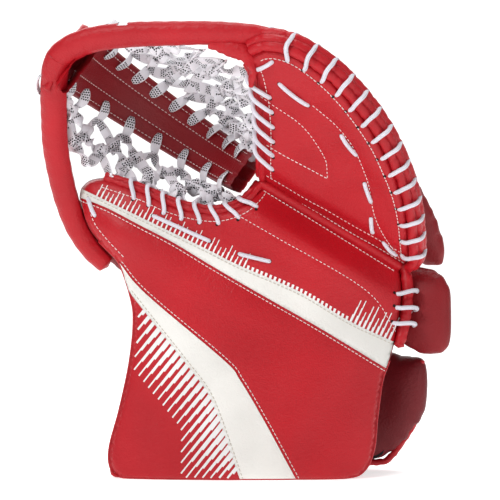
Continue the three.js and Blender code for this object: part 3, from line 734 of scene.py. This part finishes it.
def finger_skin(x, z):
    shape = np.shape(x)
    flat = np.column_stack([np.ravel(x), np.ravel(z)])
    x, z = flat.T
    outer = gap_to(flat, FINGER_OUTLINE)
    groove = np.min([gap_to(flat, line) for line in (SMALL_CRESCENT, LARGE_CRESCENT, CREASE_ROWS[0])], axis=0)
    crown = 2.0 * (1 - np.exp(-outer / 10)) + 1.1 * (1 - np.exp(-groove / 2.8))
    band = 3.5 * hill(x, z, (45, 88), (90, 12), -0.52)
    folds = smooth(z, 1, 24)
    crown = crown * (0.2 + 0.8 * folds) - 2.5 * (1 - folds)
    pucker = 0.22 * ripple(x, z, 10) * np.exp(-outer / 6) + 0.6 * ripple(x, z, 70)
    return (finger_face(x, z) - crown - band + pucker + edge_roll(outer, 2.5)).reshape(shape)


def finger_back(x, z):
    return finger_face(x, z) + 15.0


FINGER_SKIN, FINGER_BACK = Face(FINGER, finger_skin), Face(FINGER, finger_back)
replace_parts(panel("finger_panel_skin", FINGER_OUTLINE, FINGER_SKIN, RED, "finger_side"), "finger_panel")
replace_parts(wall("finger_gusset", FINGER_OUTLINE, FINGER_SKIN, FINGER_BACK, DARK, "finger_side"),
            "finger_foam", "finger_plate")
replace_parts(panel("finger_lining", FINGER_OUTLINE, FINGER_BACK, LINING, "finger_side", step=4, tuck=-1,
                  forward=False), "finger_liner")

# ---- Padded rolls and bindings ----


def puckered(pitch, depth, wave=0.25):
    """Wrinkles of a leather roll that a lace pulls in at every pitch."""
    def wrinkle(s, angle):
        squeeze = -depth * np.exp(-((s % pitch) - pitch / 2) ** 2 / 3.5)
        return squeeze + wave * np.sin(s * 0.9 + 2.1 * np.sin(angle)) * np.sin(s * 0.17 + angle * 2)
    return wrinkle


def roll(name, path, radius, body, node, flat=1.0, lean=None, wrinkle=None, sides=20):
    """A padded roll of red leather that stands for a node."""
    verts, faces, marks = tube(path, radius, sides, flat, lean, wrinkle or puckered(31, 0.3))
    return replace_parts(build(name, verts, faces, RED, body, marks), node)


def piping(name, path, radius, sides, body):
    build(name, *tube(path, radius, sides)[:2], RED, body)


edge = spline([(-113, 187), (-97, 170), (-87, 141), (-85, 122), (-88, 92), (-96, 54), (-104, 24), (-103, 8),
               (-94, 1.6), (-40, 1.6), (43, 1.6), (82, 1.6), (96, 6), (104, 22),
               (107, 48), (111, 76), (117, 92)], 260)
piping("cuff_piping", LINING_FACE.at(edge, -1.0), 1.6, 10, "thumb_side")
piping("cuff_front_piping", SKIN.at(edge, 2.6), 1.5, 10, "thumb_side")
pocket_line = beside(SEAM["pocket"], 3.0)
for name, place, behind in (("pocket_edge_roll", pocket_line, 3.2),
                            ("pocket_inner_roll", SEAM["pocket"], 1.2)):
    y = board_face(*place.T) + behind
    roll(name, resample(np.column_stack([place[:, 0], y, place[:, 1]]), 150), BINDING, "thumb_side",
         "pocket_edge_binding", wrinkle=puckered(15.5, 0.35))
finger_line = beside(FINGER_POCKET_EDGE, 3.0)[3:]
for name, place, behind in (("finger_edge_roll", finger_line, 3.2),
                            ("finger_inner_roll", FINGER_POCKET_EDGE[2:], 1.2)):
    y = finger_face(*place.T) + behind
    path = FINGER.out(np.column_stack([place[:, 0], y, place[:, 1]]))
    roll(name, resample(path, 110), BINDING, "finger_side", "finger_edge_binding", wrinkle=puckered(17, 0.35))


def on_finger(flat, behind):
    flat = np.atleast_2d(flat)
    return FINGER.out(np.column_stack([flat[:, 0], finger_face(*flat.T) + behind, flat[:, 1]]))


def on_board(flat, behind):
    flat = np.atleast_2d(flat)
    return BOARD.out(np.column_stack([flat[:, 0], board_face(*flat.T) + behind, flat[:, 1]]))


RIM_LINE = beside(FINGER_EDGE, 3.6)[6:]
for name, node, out_by, behind, radius in (
        ("perimeter_roll_front", "perimeter_front_roll", 0, 0.2, 4.0),
        ("perimeter_roll_middle", "perimeter_front_roll", 3.4, 5.0, 4.2),
        ("perimeter_roll_back", "perimeter_back_roll", 4.4, 11.0, 4.8)):
    path = resample(on_finger(beside(RIM_LINE, out_by), behind), 380)
    padded = roll(name, path, radius, "finger_side", node, wrinkle=puckered(20.5, 0.5, 0.12))
heel = spline([(130, 170), (132, 158), (132.5, 143), (129.5, 122), (125, 104)], 50)
roll("heel_padded_roll", resample(on_board(heel, 5), 110), 4.8, "thumb_side", "heel_roll",
               wrinkle=puckered(19, 0.6))

welt = CROTCH + np.linspace(-1, 131, 60)[:, None] * ALONG_BREAK + 1.2 * break_back(OPEN_ANGLE / 2)
piping("break_welt", welt, 4.4, 16, "web")

# ---- The padded rim round the pocket's mouth ----


RIM_CORNER = (-139, -32, 327)
RIM_PATH = spline([(-109, 46, 168), (-121, 45, 180), (-131, 42, 196), (-138, 35, 215), (-143, 25, 235),
                   (-146, 13, 258), (-146, -2, 281), (-145, -18, 305), RIM_CORNER, (-118, -40, 339),
                   (-84, -47, 343), (-46, -52, 344), (-8, -56, 343), (16, -56, 341), (34, -52, 335)], 460)
RIM_SPLIT = int(np.argmin(np.linalg.norm(RIM_PATH - RIM_CORNER, axis=1)))


def rim_piece(name, path, node, share):
    """An oval leather wrap, widest along the mouth, whose wide side looks into the pocket."""
    lean = POCKET_MIDDLE - path
    width = 6.8 + 3.4 * np.sin(math.pi * np.clip(share, 0, 1)) ** 0.4

    def wrinkle(s, angle):
        soft = 0.22 * np.sin(s * 0.09 + angle) + 0.12 * np.sin(s * 0.5 + 2 * angle + 0.8 * np.sin(s * 0.05))
        lip = 0.8 * np.exp(-((np.cos(angle) - 0.93) / 0.05) ** 2)
        return soft + lip
    return roll(name, path, width, None, node, flat=0.78, lean=lean, wrinkle=wrinkle, sides=40)


shares = np.linspace(0, 1, len(RIM_PATH))
thumb_rim = rim_piece("thumb_rim_wrap", RIM_PATH[:RIM_SPLIT + 1], "thumb_rim", shares[:RIM_SPLIT + 1])
finger_rim = rim_piece("finger_rim_wrap", RIM_PATH[RIM_SPLIT:], "finger_rim", shares[RIM_SPLIT:])
for piece, bodies, first, last in (
        (thumb_rim, ("thumb_side", "web"), RIM_PATH[60], RIM_PATH[RIM_SPLIT - 70]),
        (finger_rim, ("web", "finger_side"), RIM_PATH[RIM_SPLIT + 60], (-20, -54, 341))):
    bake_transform(piece)

# A folded tab of the finger side, that closes the corner between the rim and the pocket's edge.
tab = spline([(-24, -53, 337), (-8, -54, 333), (4, -54, 328), (9, -52, 318), (7, -46, 304)], 80)
tab_radius = np.interp(np.linspace(0, 1, 80), [0, 0.35, 0.7, 1], [5, 8, 6, 3])
roll("corner_tab", tab, tab_radius, "finger_side", "finger_edge_binding", flat=0.6, lean=arr(0, 0, 1),
     wrinkle=puckered(13, 0.5, 0.35))

# ---- The web ----
SHAFT = Shaft()
SHAFT_ROWS = (0.33, 0.8)  # its sewn rows, as shares of half its width


def shaft_skin(name, behind, material, nodes, curl):
    """One side of the shaft, whose long edges curl round the padding."""
    us, vs = np.linspace(-0.01, 1.02, 90), np.linspace(-1, 1, 33)
    rows = []
    for u in us:
        side = shaft_side(u, vs)
        lift = behind + curl * np.maximum(0, np.abs(vs) - 0.86) ** 2 / 0.14 ** 2 * 3.4
        quilt = -0.8 * sum(np.exp(-((np.abs(vs) - row) / 0.05) ** 2) for row in SHAFT_ROWS)
        rows.append(np.vstack([SHAFT.at((u, s), b - q * curl) for s, b, q in zip(side, lift, quilt)]))
    verts = np.vstack(rows)
    faces = facing(grid_faces(len(us), len(vs)), verts, SHAFT.normals((0, 0))[0] * curl)
    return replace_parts(build(name, verts, faces, material, "web"), *nodes)


shaft_skin("web_inner_skin", -0.6, DARK, ["web_face"], 1)
shaft_skin("web_outer_skin", 10.4, RED, ["web_back", "web_core"], -1)
crossbar = resample([(-22, 0), (0, 0), (34, 0)], 30)
side = crossbar[:, 0]
bar_path = WEB.out(np.column_stack([WEB_REACH + 15 - 3 * (side / 36) ** 2, np.full(30, 8.0), side]))
roll("crossbar_pad", bar_path, 9, "web", "web_crossbar", flat=0.42, lean=WEB.axes[1])

# ---- Stitching ----
thumb_thread, finger_thread, web_thread, cream_thread = Pile(), Pile(), Pile(), Pile()
for line, aside, pile in ((SEAM["upper_low"], -2.4, thumb_thread), (SEAM["lower_right"], 2.4, thumb_thread),
                          (SEAM["lower_left"], 2.4, cream_thread), (SEAM["upper_top"], -2.2, cream_thread),
                          (SEAM["pocket"], -7.5, thumb_thread), (SEAM["outside"], -6.0, thumb_thread),
                          (PALM_ROW, 0, thumb_thread)):
    stitches(pile, SKIN, beside(line, aside), skip=3)
thumb_break = np.array([(17, 227), (60, 201), (122, 163)], float)
stitches(thumb_thread, SKIN, resample(thumb_break, 40))
for line in (SMALL_CRESCENT, SMALL_BASE, LARGE_CRESCENT, beside(FINGER_EDGE, -6.6)[6:-4],
             beside(FINGER_POCKET_EDGE, -7.5)[3:-3], *CREASE_ROWS):
    stitches(finger_thread, FINGER_SKIN, line, skip=2)
stations_along_shaft = np.linspace(0.06, 0.96, 60)
for share in (-SHAFT_ROWS[1], -SHAFT_ROWS[0], *SHAFT_ROWS):
    row = np.column_stack([stations_along_shaft, shaft_side(stations_along_shaft, share)])
    stitches(web_thread, SHAFT, row, behind=0.3)
thumb_thread.piece("thumb_side_stitches", THREAD, "thumb_side")
finger_thread.piece("finger_side_stitches", THREAD, "finger_side")
web_thread.piece("web_stitches", THREAD, "web")
cream_thread.piece("stripe_stitches", CREAM, "thumb_side")

# ---- Laces ----
eyelets = {"thumb_side": Pile(), "finger_side": Pile()}


def lace(name, path, body, node, radius=LACE):
    verts, faces, marks = tube(path, radius, 10)
    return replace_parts(build(name, verts, faces, LACE_WHITE, body, marks), node)


def wound(name, node, flat, turns, reach, place, face, body):
    path, entries = winding(flat, turns, *reach, place)
    lace(name, path, body, node)
    holes(eyelets[body], face.at(entries), face.normals(entries))


wound("thumb_pocket_lacing", "thumb_pocket_lace", SEAM["pocket"][6:-6], 8, (9.5, 6.2, 8.0, 6.5, -0.8),
      lambda p, d: on_board(p, 2.6 + d), SKIN, "thumb_side")
wound("finger_pocket_lacing", "finger_pocket_lace", FINGER_POCKET_EDGE[10:-8], 6, (9.5, 6.2, 8.0, 6.5, 0.8),
      lambda p, d: on_finger(p, 2.6 + d), FINGER_SKIN, "finger_side")
wound("perimeter_lacing", "perimeter_lace", beside(FINGER_EDGE, 3.0)[14:-5], 14,
      (9.4, 8.4, 10.6, 12.0, -0.55), lambda p, d: on_finger(p, 6 + d), FINGER_SKIN, "finger_side")
wound("heel_lacing", "heel_lace", resample([(130.5, 155), (131.5, 140), (128.5, 118)], 20), 3,
      (10, 9.6, 10.4, 9.0, -0.3), lambda p, d: on_board(p, 6 + d), SKIN, "thumb_side")


def tie(name, start, end, face, body):
    """A stitch of lace that lies slack on the leather between two eyelets."""
    ends = np.array([start, end], float)
    share = np.linspace(0, 1, 26)
    flat = ends[0] + share[:, None] * (ends[1] - ends[0])
    lift = 2.3 * np.sin(math.pi * share) ** 0.45 - 0.8
    path = face.at(flat) + face.normals(flat) * lift[:, None]
    lace(name + "_lace", path, body, name, LACE * 0.95)
    holes(eyelets[body], face.at(ends), face.normals(ends), 1.5)


for name, start, end in (("palm_tie_left", (-70, 207), (-25, 187)), ("palm_tie_right", (-2, 177), (22, 171)),
                         ("thumb_tip_tie", (-122, 221), (-116, 207))):
    tie(name, start, end, SKIN, "thumb_side")
for name, start, end in (("finger_tie_top", (-37, 95), (-9, 92)), ("finger_tie_upper", (25, 85), (44, 76)),
                         ("finger_tie_lower", (63, 57), (77, 44)), ("finger_tie_bottom", (85, 31), (94, 19)),
                         ("break_tie", (106, 15), (122, 9)), ("finger_corner_tie", (-57, 95), (-51, 109))):
    tie(name, start, end, FINGER_SKIN, "finger_side")
for body, pile in eyelets.items():
    pile.piece(body + "_eyelets", HOLE, body)

# ---- Printed bars beside the stripes ----


def printed(pile, start, direction, length, widths, steps=8):
    """A thin stepped bar: widths are its breadths in equal stretches from the stripe outwards."""
    side = arr(-direction[1], direction[0])
    for k, width in enumerate(widths):
        a, b = length * k / len(widths), length * (k + 1) / len(widths)
        along = np.linspace(a, b, steps)
        rows = np.vstack([start + s * direction + side * w for s in along for w in (0, width / 2, width)])
        verts = SKIN.at(rows) + SKIN.normals(rows) * 0.18
        faces = facing(grid_faces(steps, 3), verts, arr(0, -1, 0))
        pile.add(verts, faces)


prints = Pile()
hatch_edge = chain(SEAM["lower_left"][2:], [(-47.4, 0.5), (-47.4, 41), (-86, 88), (-86, 140)])
starts = resample(SEAM["lower_left"], 30)[1:]
slant = unit(arr(-0.62, -0.785))
for start in starts:
    run = start + np.arange(1.0, 90, 0.5)[:, None] * slant
    blocked = np.flatnonzero(~inside(run, hatch_edge) | (gap_to(run, closed(BOARD_OUTLINE)) < 3.0))
    length = 1.0 + 0.5 * (blocked[0] if len(blocked) else 100)
    if length > 5:
        printed(prints, start, slant, length, (3.9, 3.0, 2.1, 1.2) if length > 22 else (3.0, 1.6))
ticks = resample(SEAM["upper_top"], 74)
up_right = unit(arr(0.42, 0.9))
for i, start in enumerate(ticks):
    share = i / len(ticks)
    if 0.05 < share < 0.52:
        printed(prints, start, up_right, 9 + 3 * math.sin(i * 1.7), (1.3, 0.7), 4)
    elif 0.52 <= share < 0.84:
        printed(prints, start, unit(arr(0.35, 1)), 3.0, (1.9,), 3)
    elif 0.84 <= share < 0.985:
        printed(prints, start, up_right, 17 + 5 * math.sin(i * 2.1), (1.9, 1.2, 0.8), 4)
prints.piece("printed_bars", PRINT, "thumb_side")

# ---- Nets of flat lace ----


def leaf(path, lean, turns=0.0, width=9.6):
    """A flat lace along a path, that turns over on the way."""
    t, up, side = frames_along(path, lean)
    angle = turns * 2 * math.pi * smooth(np.linspace(0, 1, len(path)), 0.1, 0.9)
    face = up * np.cos(angle)[:, None] + side * np.sin(angle)[:, None]
    taper = width * (0.5 + 0.5 * np.sin(math.pi * np.linspace(0, 1, len(path))) ** 0.5)
    return ribbon(path, taper, 1.5, face)


def bezier(a, b, c, count=16):
    t = np.linspace(0, 1, count)[:, None]
    return (1 - t) ** 2 * a + 2 * t * (1 - t) * b + t * t * c


def knot(pile, centre, out, size=6.2):
    """Two short folds of lace pulled tight over each other."""
    for k in range(2):
        a = across(rng.normal(size=3), out)
        b = np.cross(out, a)
        angle = np.linspace(-1.9, 1.9, 14)
        arch = centre + (a * np.sin(angle)[:, None] * size) + out * (np.cos(angle)[:, None] * size * 0.55)
        twist = out + a * np.sin(angle)[:, None] * 0.9 + b * (rng.uniform(-0.5, 0.5))
        pile.add(*leaf(arch, twist, 0, 9.0))


def knotted_net(pile, inner, outer, bulge, rows):
    """Laces knotted into diamonds between an inner and an outer row of points."""
    count = len(inner)
    knots = {}
    for r in range(rows + 1):
        share = r / rows
        shift = 0.5 if r % 2 else 0.0
        for j in range(count - (1 if r % 2 else 0)):
            at = j + shift
            a = np.array([np.interp(at, range(count), inner[:, k]) for k in range(3)])
            b = np.array([np.interp(at, range(count), outer[:, k]) for k in range(3)])
            sag = bulge * math.sin(math.pi * share)
            stray = rng.normal(size=3) * (1.6 if 0 < r < rows else 0.4)
            knots[r, j] = a + (b - a) * share + sag + stray
    out = -unit(bulge)
    for (r, j), centre in knots.items():
        if 0 < r < rows:
            knot(pile, centre, out)
        for step in ((0, 1) if r % 2 else (-1, 0)):
            other = knots.get((r + 1, j + step))
            if r < rows and other is not None:
                middle = (centre + other) / 2 + rng.normal(size=3) * 3
                lean = out + rng.normal(size=3) * 0.5
                pile.add(*leaf(bezier(centre, middle, other), lean, rng.choice([0, 0, 0.5, -0.5])))


def shaft_loops(pile, side, us):
    """Laces that loop through the shaft's edge and lie on its inner face."""
    tips = []
    for u in us:
        edge = shaft_side(u, side)
        hole = SHAFT.at((u + 0.012, edge - side * 11), -0.8)[0]
        over = SHAFT.at((u, edge - side * 1), -7.5)[0]
        rim = SHAFT.at((u - 0.01, edge + side * 6), 2)[0]
        normal = SHAFT.normals((u, edge))[0]
        pile.add(*leaf(bezier(hole, over, rim, 18), normal + 0.25 * rng.normal(size=3), 0, 8.6))
        tips.append(rim)
    return np.array(tips)


NET_BULGE = across(break_back(WEB_TILT), ALONG_WEB)
thumb_net, finger_net = Pile(), Pile()
thumb_edge = on_board([(-4, 217), (-20, 211), (-38, 213), (-58, 219), (-78, 228), (-102, 238)], 5)
thumb_outer = resample(np.vstack([thumb_edge, [(-128, 22, 246), (-133, 6, 270), (-133, -10, 292)]]), 9)
thumb_tips = shaft_loops(thumb_net, 1, np.linspace(0.08, 0.92, 9))
knotted_net(thumb_net, thumb_tips, thumb_outer, NET_BULGE * 7, 3)
finger_edge = on_finger([(-8, 12), (-24, 40), (-38, 62), (-55, 84)], 6)
finger_outer = resample(np.vstack([finger_edge, [(-34, -40, 334), (-58, -42, 335), (-84, -38, 334)]]), 11)
finger_tips = shaft_loops(finger_net, -1, np.linspace(0.1, 0.88, 11))
knotted_net(finger_net, finger_tips, finger_outer, NET_BULGE * 7, 4)
for name, pile, node, bodies, first, last in (
        ("thumb_net_laces", thumb_net, "thumb_net", ("thumb_side", "web"), (-90, 20, 236), (-62, 20, 262)),
        ("finger_net_laces", finger_net, "finger_net", ("web", "finger_side"), (-28, 0, 282), (4, -8, 300))):
    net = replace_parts(pile.piece(name, NET_WHITE, None), node)
    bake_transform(net)
loops = Pile()
for place, rise in (((-145, -18, 309), 5.5), ((-88, -46, 341), 4.0)):
    nearest = int(np.argmin(np.linalg.norm(RIM_PATH - place, axis=1)))
    foot = RIM_PATH[nearest]
    along = unit(RIM_PATH[nearest + 3] - RIM_PATH[nearest - 3])
    outwards = -across(POCKET_MIDDLE - foot, along)
    angle = np.linspace(-1.7, 1.7, 24)
    arch = foot + outwards * (7.5 + rise * np.cos(angle))[:, None] + along * (np.sin(angle) * 9)[:, None]
    arch += arr(0, 3.5, 0)
    loops.add(*leaf(arch, units(arch - foot), 0, 8.0))
loops.piece("crossbar_loops", NET_WHITE, "web")

# ---- Pads on the back of the hand ----


PAD_CELL = 0.0045  # metres, the cells a pad is remeshed to
PAD_STEPS = 15  # of its cloth simulation


def cushion(name, node, body, material=DARK, full=2.6, pressure=4.0, cap=3.5):
    """A leather pad blown up by a short cloth simulation from its CAD solid, full mm fuller at the end."""
    source = frame["nodes"][node]
    mesh = source.data.copy()
    mesh.transform(source.matrix_world)
    pad = bpy.data.objects.new(name, mesh)
    bpy.context.scene.collection.objects.link(pad)
    bpy.context.view_layer.objects.active = pad
    remesh = pad.modifiers.new("remesh", "REMESH")
    remesh.mode, remesh.voxel_size = "VOXEL", PAD_CELL
    bake(pad)
    before = np.array([v.co for v in pad.data.vertices])
    cloth = pad.modifiers.new("cloth", "CLOTH")
    cloth.settings.use_pressure = True
    cloth.settings.uniform_pressure_force = pressure
    cloth.settings.effector_weights.gravity = 0
    cloth.settings.tension_stiffness = cloth.settings.compression_stiffness = 25
    cloth.settings.bending_stiffness = 1.5
    for step in range(1, PAD_STEPS + 1):
        bpy.context.scene.frame_set(step)
    bake(pad)
    bpy.context.scene.frame_set(1)
    after = np.array([v.co for v in pad.data.vertices])
    move = after - before
    far = np.linalg.norm(move, axis=1)
    move *= np.minimum(1, cap * MM / np.maximum(far, 1e-9))[:, None]
    pad.data.vertices.foreach_set("co", (before + move).ravel())
    smoother = pad.modifiers.new("smooth", "SMOOTH")
    smoother.factor, smoother.iterations = 0.5, 14
    fuller = pad.modifiers.new("fuller", "DISPLACE")
    fuller.strength, fuller.mid_level = full * MM, 0
    finer = pad.modifiers.new("finer", "SUBSURF")
    finer.levels = finer.render_levels = 1
    bake(pad)
    pad.data.polygons.foreach_set("use_smooth", [True] * len(pad.data.polygons))
    pad.data.materials.clear()
    pad.data.materials.append(material)
    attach(pad, body)
    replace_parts(pad, node)
    return pad


def bake(piece):
    """The piece's modifiers made part of its mesh."""
    graph = bpy.context.evaluated_depsgraph_get()
    mesh = bpy.data.meshes.new_from_object(piece.evaluated_get(graph))
    piece.modifiers.clear()
    piece.data = mesh


LINING_IN_FRONT = 2.4
FLAP_BINDING = [(49, 90), (46.5, 70), (45.5, 50), (47, 17.5), (51.5, 9.5), (61, 6.2), (88, 5.8), (113, 6.2),
                (120.5, 9.5), (130, 22), (141, 41), (146, 60), (146, 90)]
WRIST_FLAP = [(58, 11), (112, 11), (114, 40), (112, 93), (62, 94), (52, 88), (49, 50), (51, 16)]


def flap_face(x, _z):
    """Front of the wrist flap, over the board's X and Z."""
    return 81 - 22 * ((x - 88) / 64) ** 2


FLAP_FACE = Face(BOARD, flap_face)
binding = resample(FLAP_FACE.at(spline(FLAP_BINDING, 120), 4.5), 240)
roll("flap_binding", binding, BINDING, "wrist_flap", "wrist_flap_binding", wrinkle=puckered(23, 0.2))
inside_flap = Face(BOARD, lambda x, z: flap_face(x, z) - LINING_IN_FRONT)
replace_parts(panel("flap_lining", chain(spline(WRIST_FLAP + WRIST_FLAP[:1], 90)), inside_flap, LINING,
                  "wrist_flap", step=4, tuck=1), "wrist_flap_liner")
cushion("thumb_back_cushion", "thumb_back_pad", "thumb_side")
cushion("lower_back_cushion", "lower_back_pad", "thumb_side", full=4.5)
cushion("upper_back_cushion", "upper_back_shell", "finger_side", cap=4.0)
# The wrist flap's darker red is painted shade from the lower pad above it.
cushion("wrist_flap_cushion", "wrist_flap_pad", "wrist_flap", SHADED, full=4.5)

# ---- Finger stalls and the wrist strap ----


def sleeve(name, path, node, body, outer=9.4, inner=8.2):
    """A knitted stall: an open tube with soft folds and rolled ends."""
    _, a, b = frames_along(path)
    s, sides = stations(path), 28
    angle = np.linspace(0, 2 * math.pi, sides, endpoint=False)
    folds = 0.35 * np.sin(s[:, None] * 0.55 + 0.8 * np.sin(2 * angle)[None, :])
    ring = a[:, None] * np.cos(angle)[None, :, None] + b[:, None] * np.sin(angle)[None, :, None]
    walls = [path[:, None] + ring * (radius + folds)[..., None] for radius in (outer, inner)]
    verts = np.concatenate([walls[0], walls[1][::-1], walls[0][:1]]).reshape(-1, 3)
    piece = build(name, verts, grid_faces(2 * len(path) + 1, sides, wrap=True), LINING, body)
    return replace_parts(piece, node)


on_thumb = spline(on_board([(8, 156), (-30, 172), (-75, 193), (-112, 212)], 32), 70)
sleeve("thumb_stall_sleeve", on_thumb, "thumb_stall", "thumb_side")
for name, points in (("index", [(10, 14), (2, 50), (-10, 98)]), ("middle", [(32, 12), (28, 50), (22, 98)]),
                     ("ring", [(54, 10), (54, 44), (52, 84)]), ("little", [(77, 8), (80, 36), (82, 62)])):
    along = FINGER.out(np.array([(x, 23.5, z) for x, z in points]))
    sleeve(name + "_stall_sleeve", spline(along, 60), name + "_stall", "finger_side")


STRAP_LANDING, STRAP_RISE, STRAP_END, STRAP_HEIGHT = -48.0, 43.0, 42.0, 47.0
STRAP_GAP = 0.3  # from the front of its CAD node to the band


def strap_band(name, node, left, right, width, thick, material, body):
    """A flat band with soft edges, that runs where its CAD node does."""
    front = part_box(node)[0][1] / MM - SHIFT[1]
    xs = np.linspace(left, right, 70)
    rise = STRAP_RISE * smooth(xs, STRAP_LANDING, STRAP_END)
    depth = board_face(np.minimum(xs, STRAP_LANDING), STRAP_HEIGHT) + rise
    depth += front - depth.min() + thick / 2 + STRAP_GAP
    path = np.column_stack([xs, depth, np.full(70, STRAP_HEIGHT)])
    verts, faces, marks = ribbon(path, width, thick, arr(0, 1, 0))
    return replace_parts(build(name, verts, faces, material, body, marks), node)


strap_band("strap_webbing", "wrist_strap", -87, 36, 31.5, 2.2, WEBBING, "wrist_strap")
strap_band("loop_tape", "strap_loop_patch", -82, -49, 25.5, 1.4, FOAM, "thumb_side")
strap_band("hook_tape", "strap_hook_patch", -82, -49, 25.5, 1.4, FOAM, "wrist_strap")

# ---- Camera, floor and light ----
CAMERA_AT = arr(6.6, -1600, 180)
PHOTO_WIDTH = 390.0  # what the picture spans at the cuff


def backdrop():
    """A pale floor that curves up into a wall far behind the glove."""
    bend = [(2.0 + 1.2 * math.sin(a), 1.2 - 1.2 * math.cos(a)) for a in np.linspace(0.15, math.pi / 2, 12)]
    profile = [(-3.0, 0.0), (2.0, 0.0), *bend, (3.2, 5.0)]
    verts = [(x, y, z) for y, z in profile for x in (-4.0, 4.0)]
    mesh = bpy.data.meshes.new("floor")
    mesh.from_pydata(verts, [], [(2 * i, 2 * i + 1, 2 * i + 3, 2 * i + 2) for i in range(len(profile) - 1)])
    mesh.polygons.foreach_set("use_smooth", [True] * len(mesh.polygons))
    floor = bpy.data.objects.new("floor", mesh)
    pale = Nodes("pale_floor", 0.9)
    pale.set(pale.shader, **{"Base Color": (0.9, 0.9, 0.9, 1), "Emission Color": (1, 1, 1, 1),
                             "Emission Strength": 0.6})
    mesh.materials.append(pale.material)
    bpy.context.scene.collection.objects.link(floor)


def studio():
    scene = bpy.context.scene
    camera = bpy.data.cameras.new("camera")
    camera.sensor_width = 36
    camera.lens = 36 * -CAMERA_AT[1] / PHOTO_WIDTH
    eye = bpy.data.objects.new("camera", camera)
    eye.location = (CAMERA_AT + SHIFT) * MM
    eye.rotation_euler = (math.radians(90), 0, 0)
    scene.collection.objects.link(eye)
    scene.camera = eye
    backdrop()
    for name, place, size, power in (("key", (-0.8, -1.3, 1.3), 0.6, 18),
                                     ("fill", (1.3, -1.2, 0.5), 1.2, 4.5),
                                     ("top", (0.1, 0.1, 1.7), 0.7, 11), ("back", (-0.4, 1.3, 1.0), 1.0, 6)):
        light = bpy.data.lights.new(name, "AREA")
        light.size, light.energy = size, power
        lamp = bpy.data.objects.new(name, light)
        lamp.location = place
        lamp.rotation_euler = (Vector((0, 0, 0.18)) - lamp.location).to_track_quat("-Z", "Y").to_euler()
        scene.collection.objects.link(lamp)
    world = bpy.data.worlds.new("studio")
    world.use_nodes = True
    world.node_tree.nodes["Background"].inputs["Color"].default_value = (1, 1, 1, 1)
    world.node_tree.nodes["Background"].inputs["Strength"].default_value = 0.29
    scene.world = world
    scene.view_settings.view_transform = "Standard"


studio()
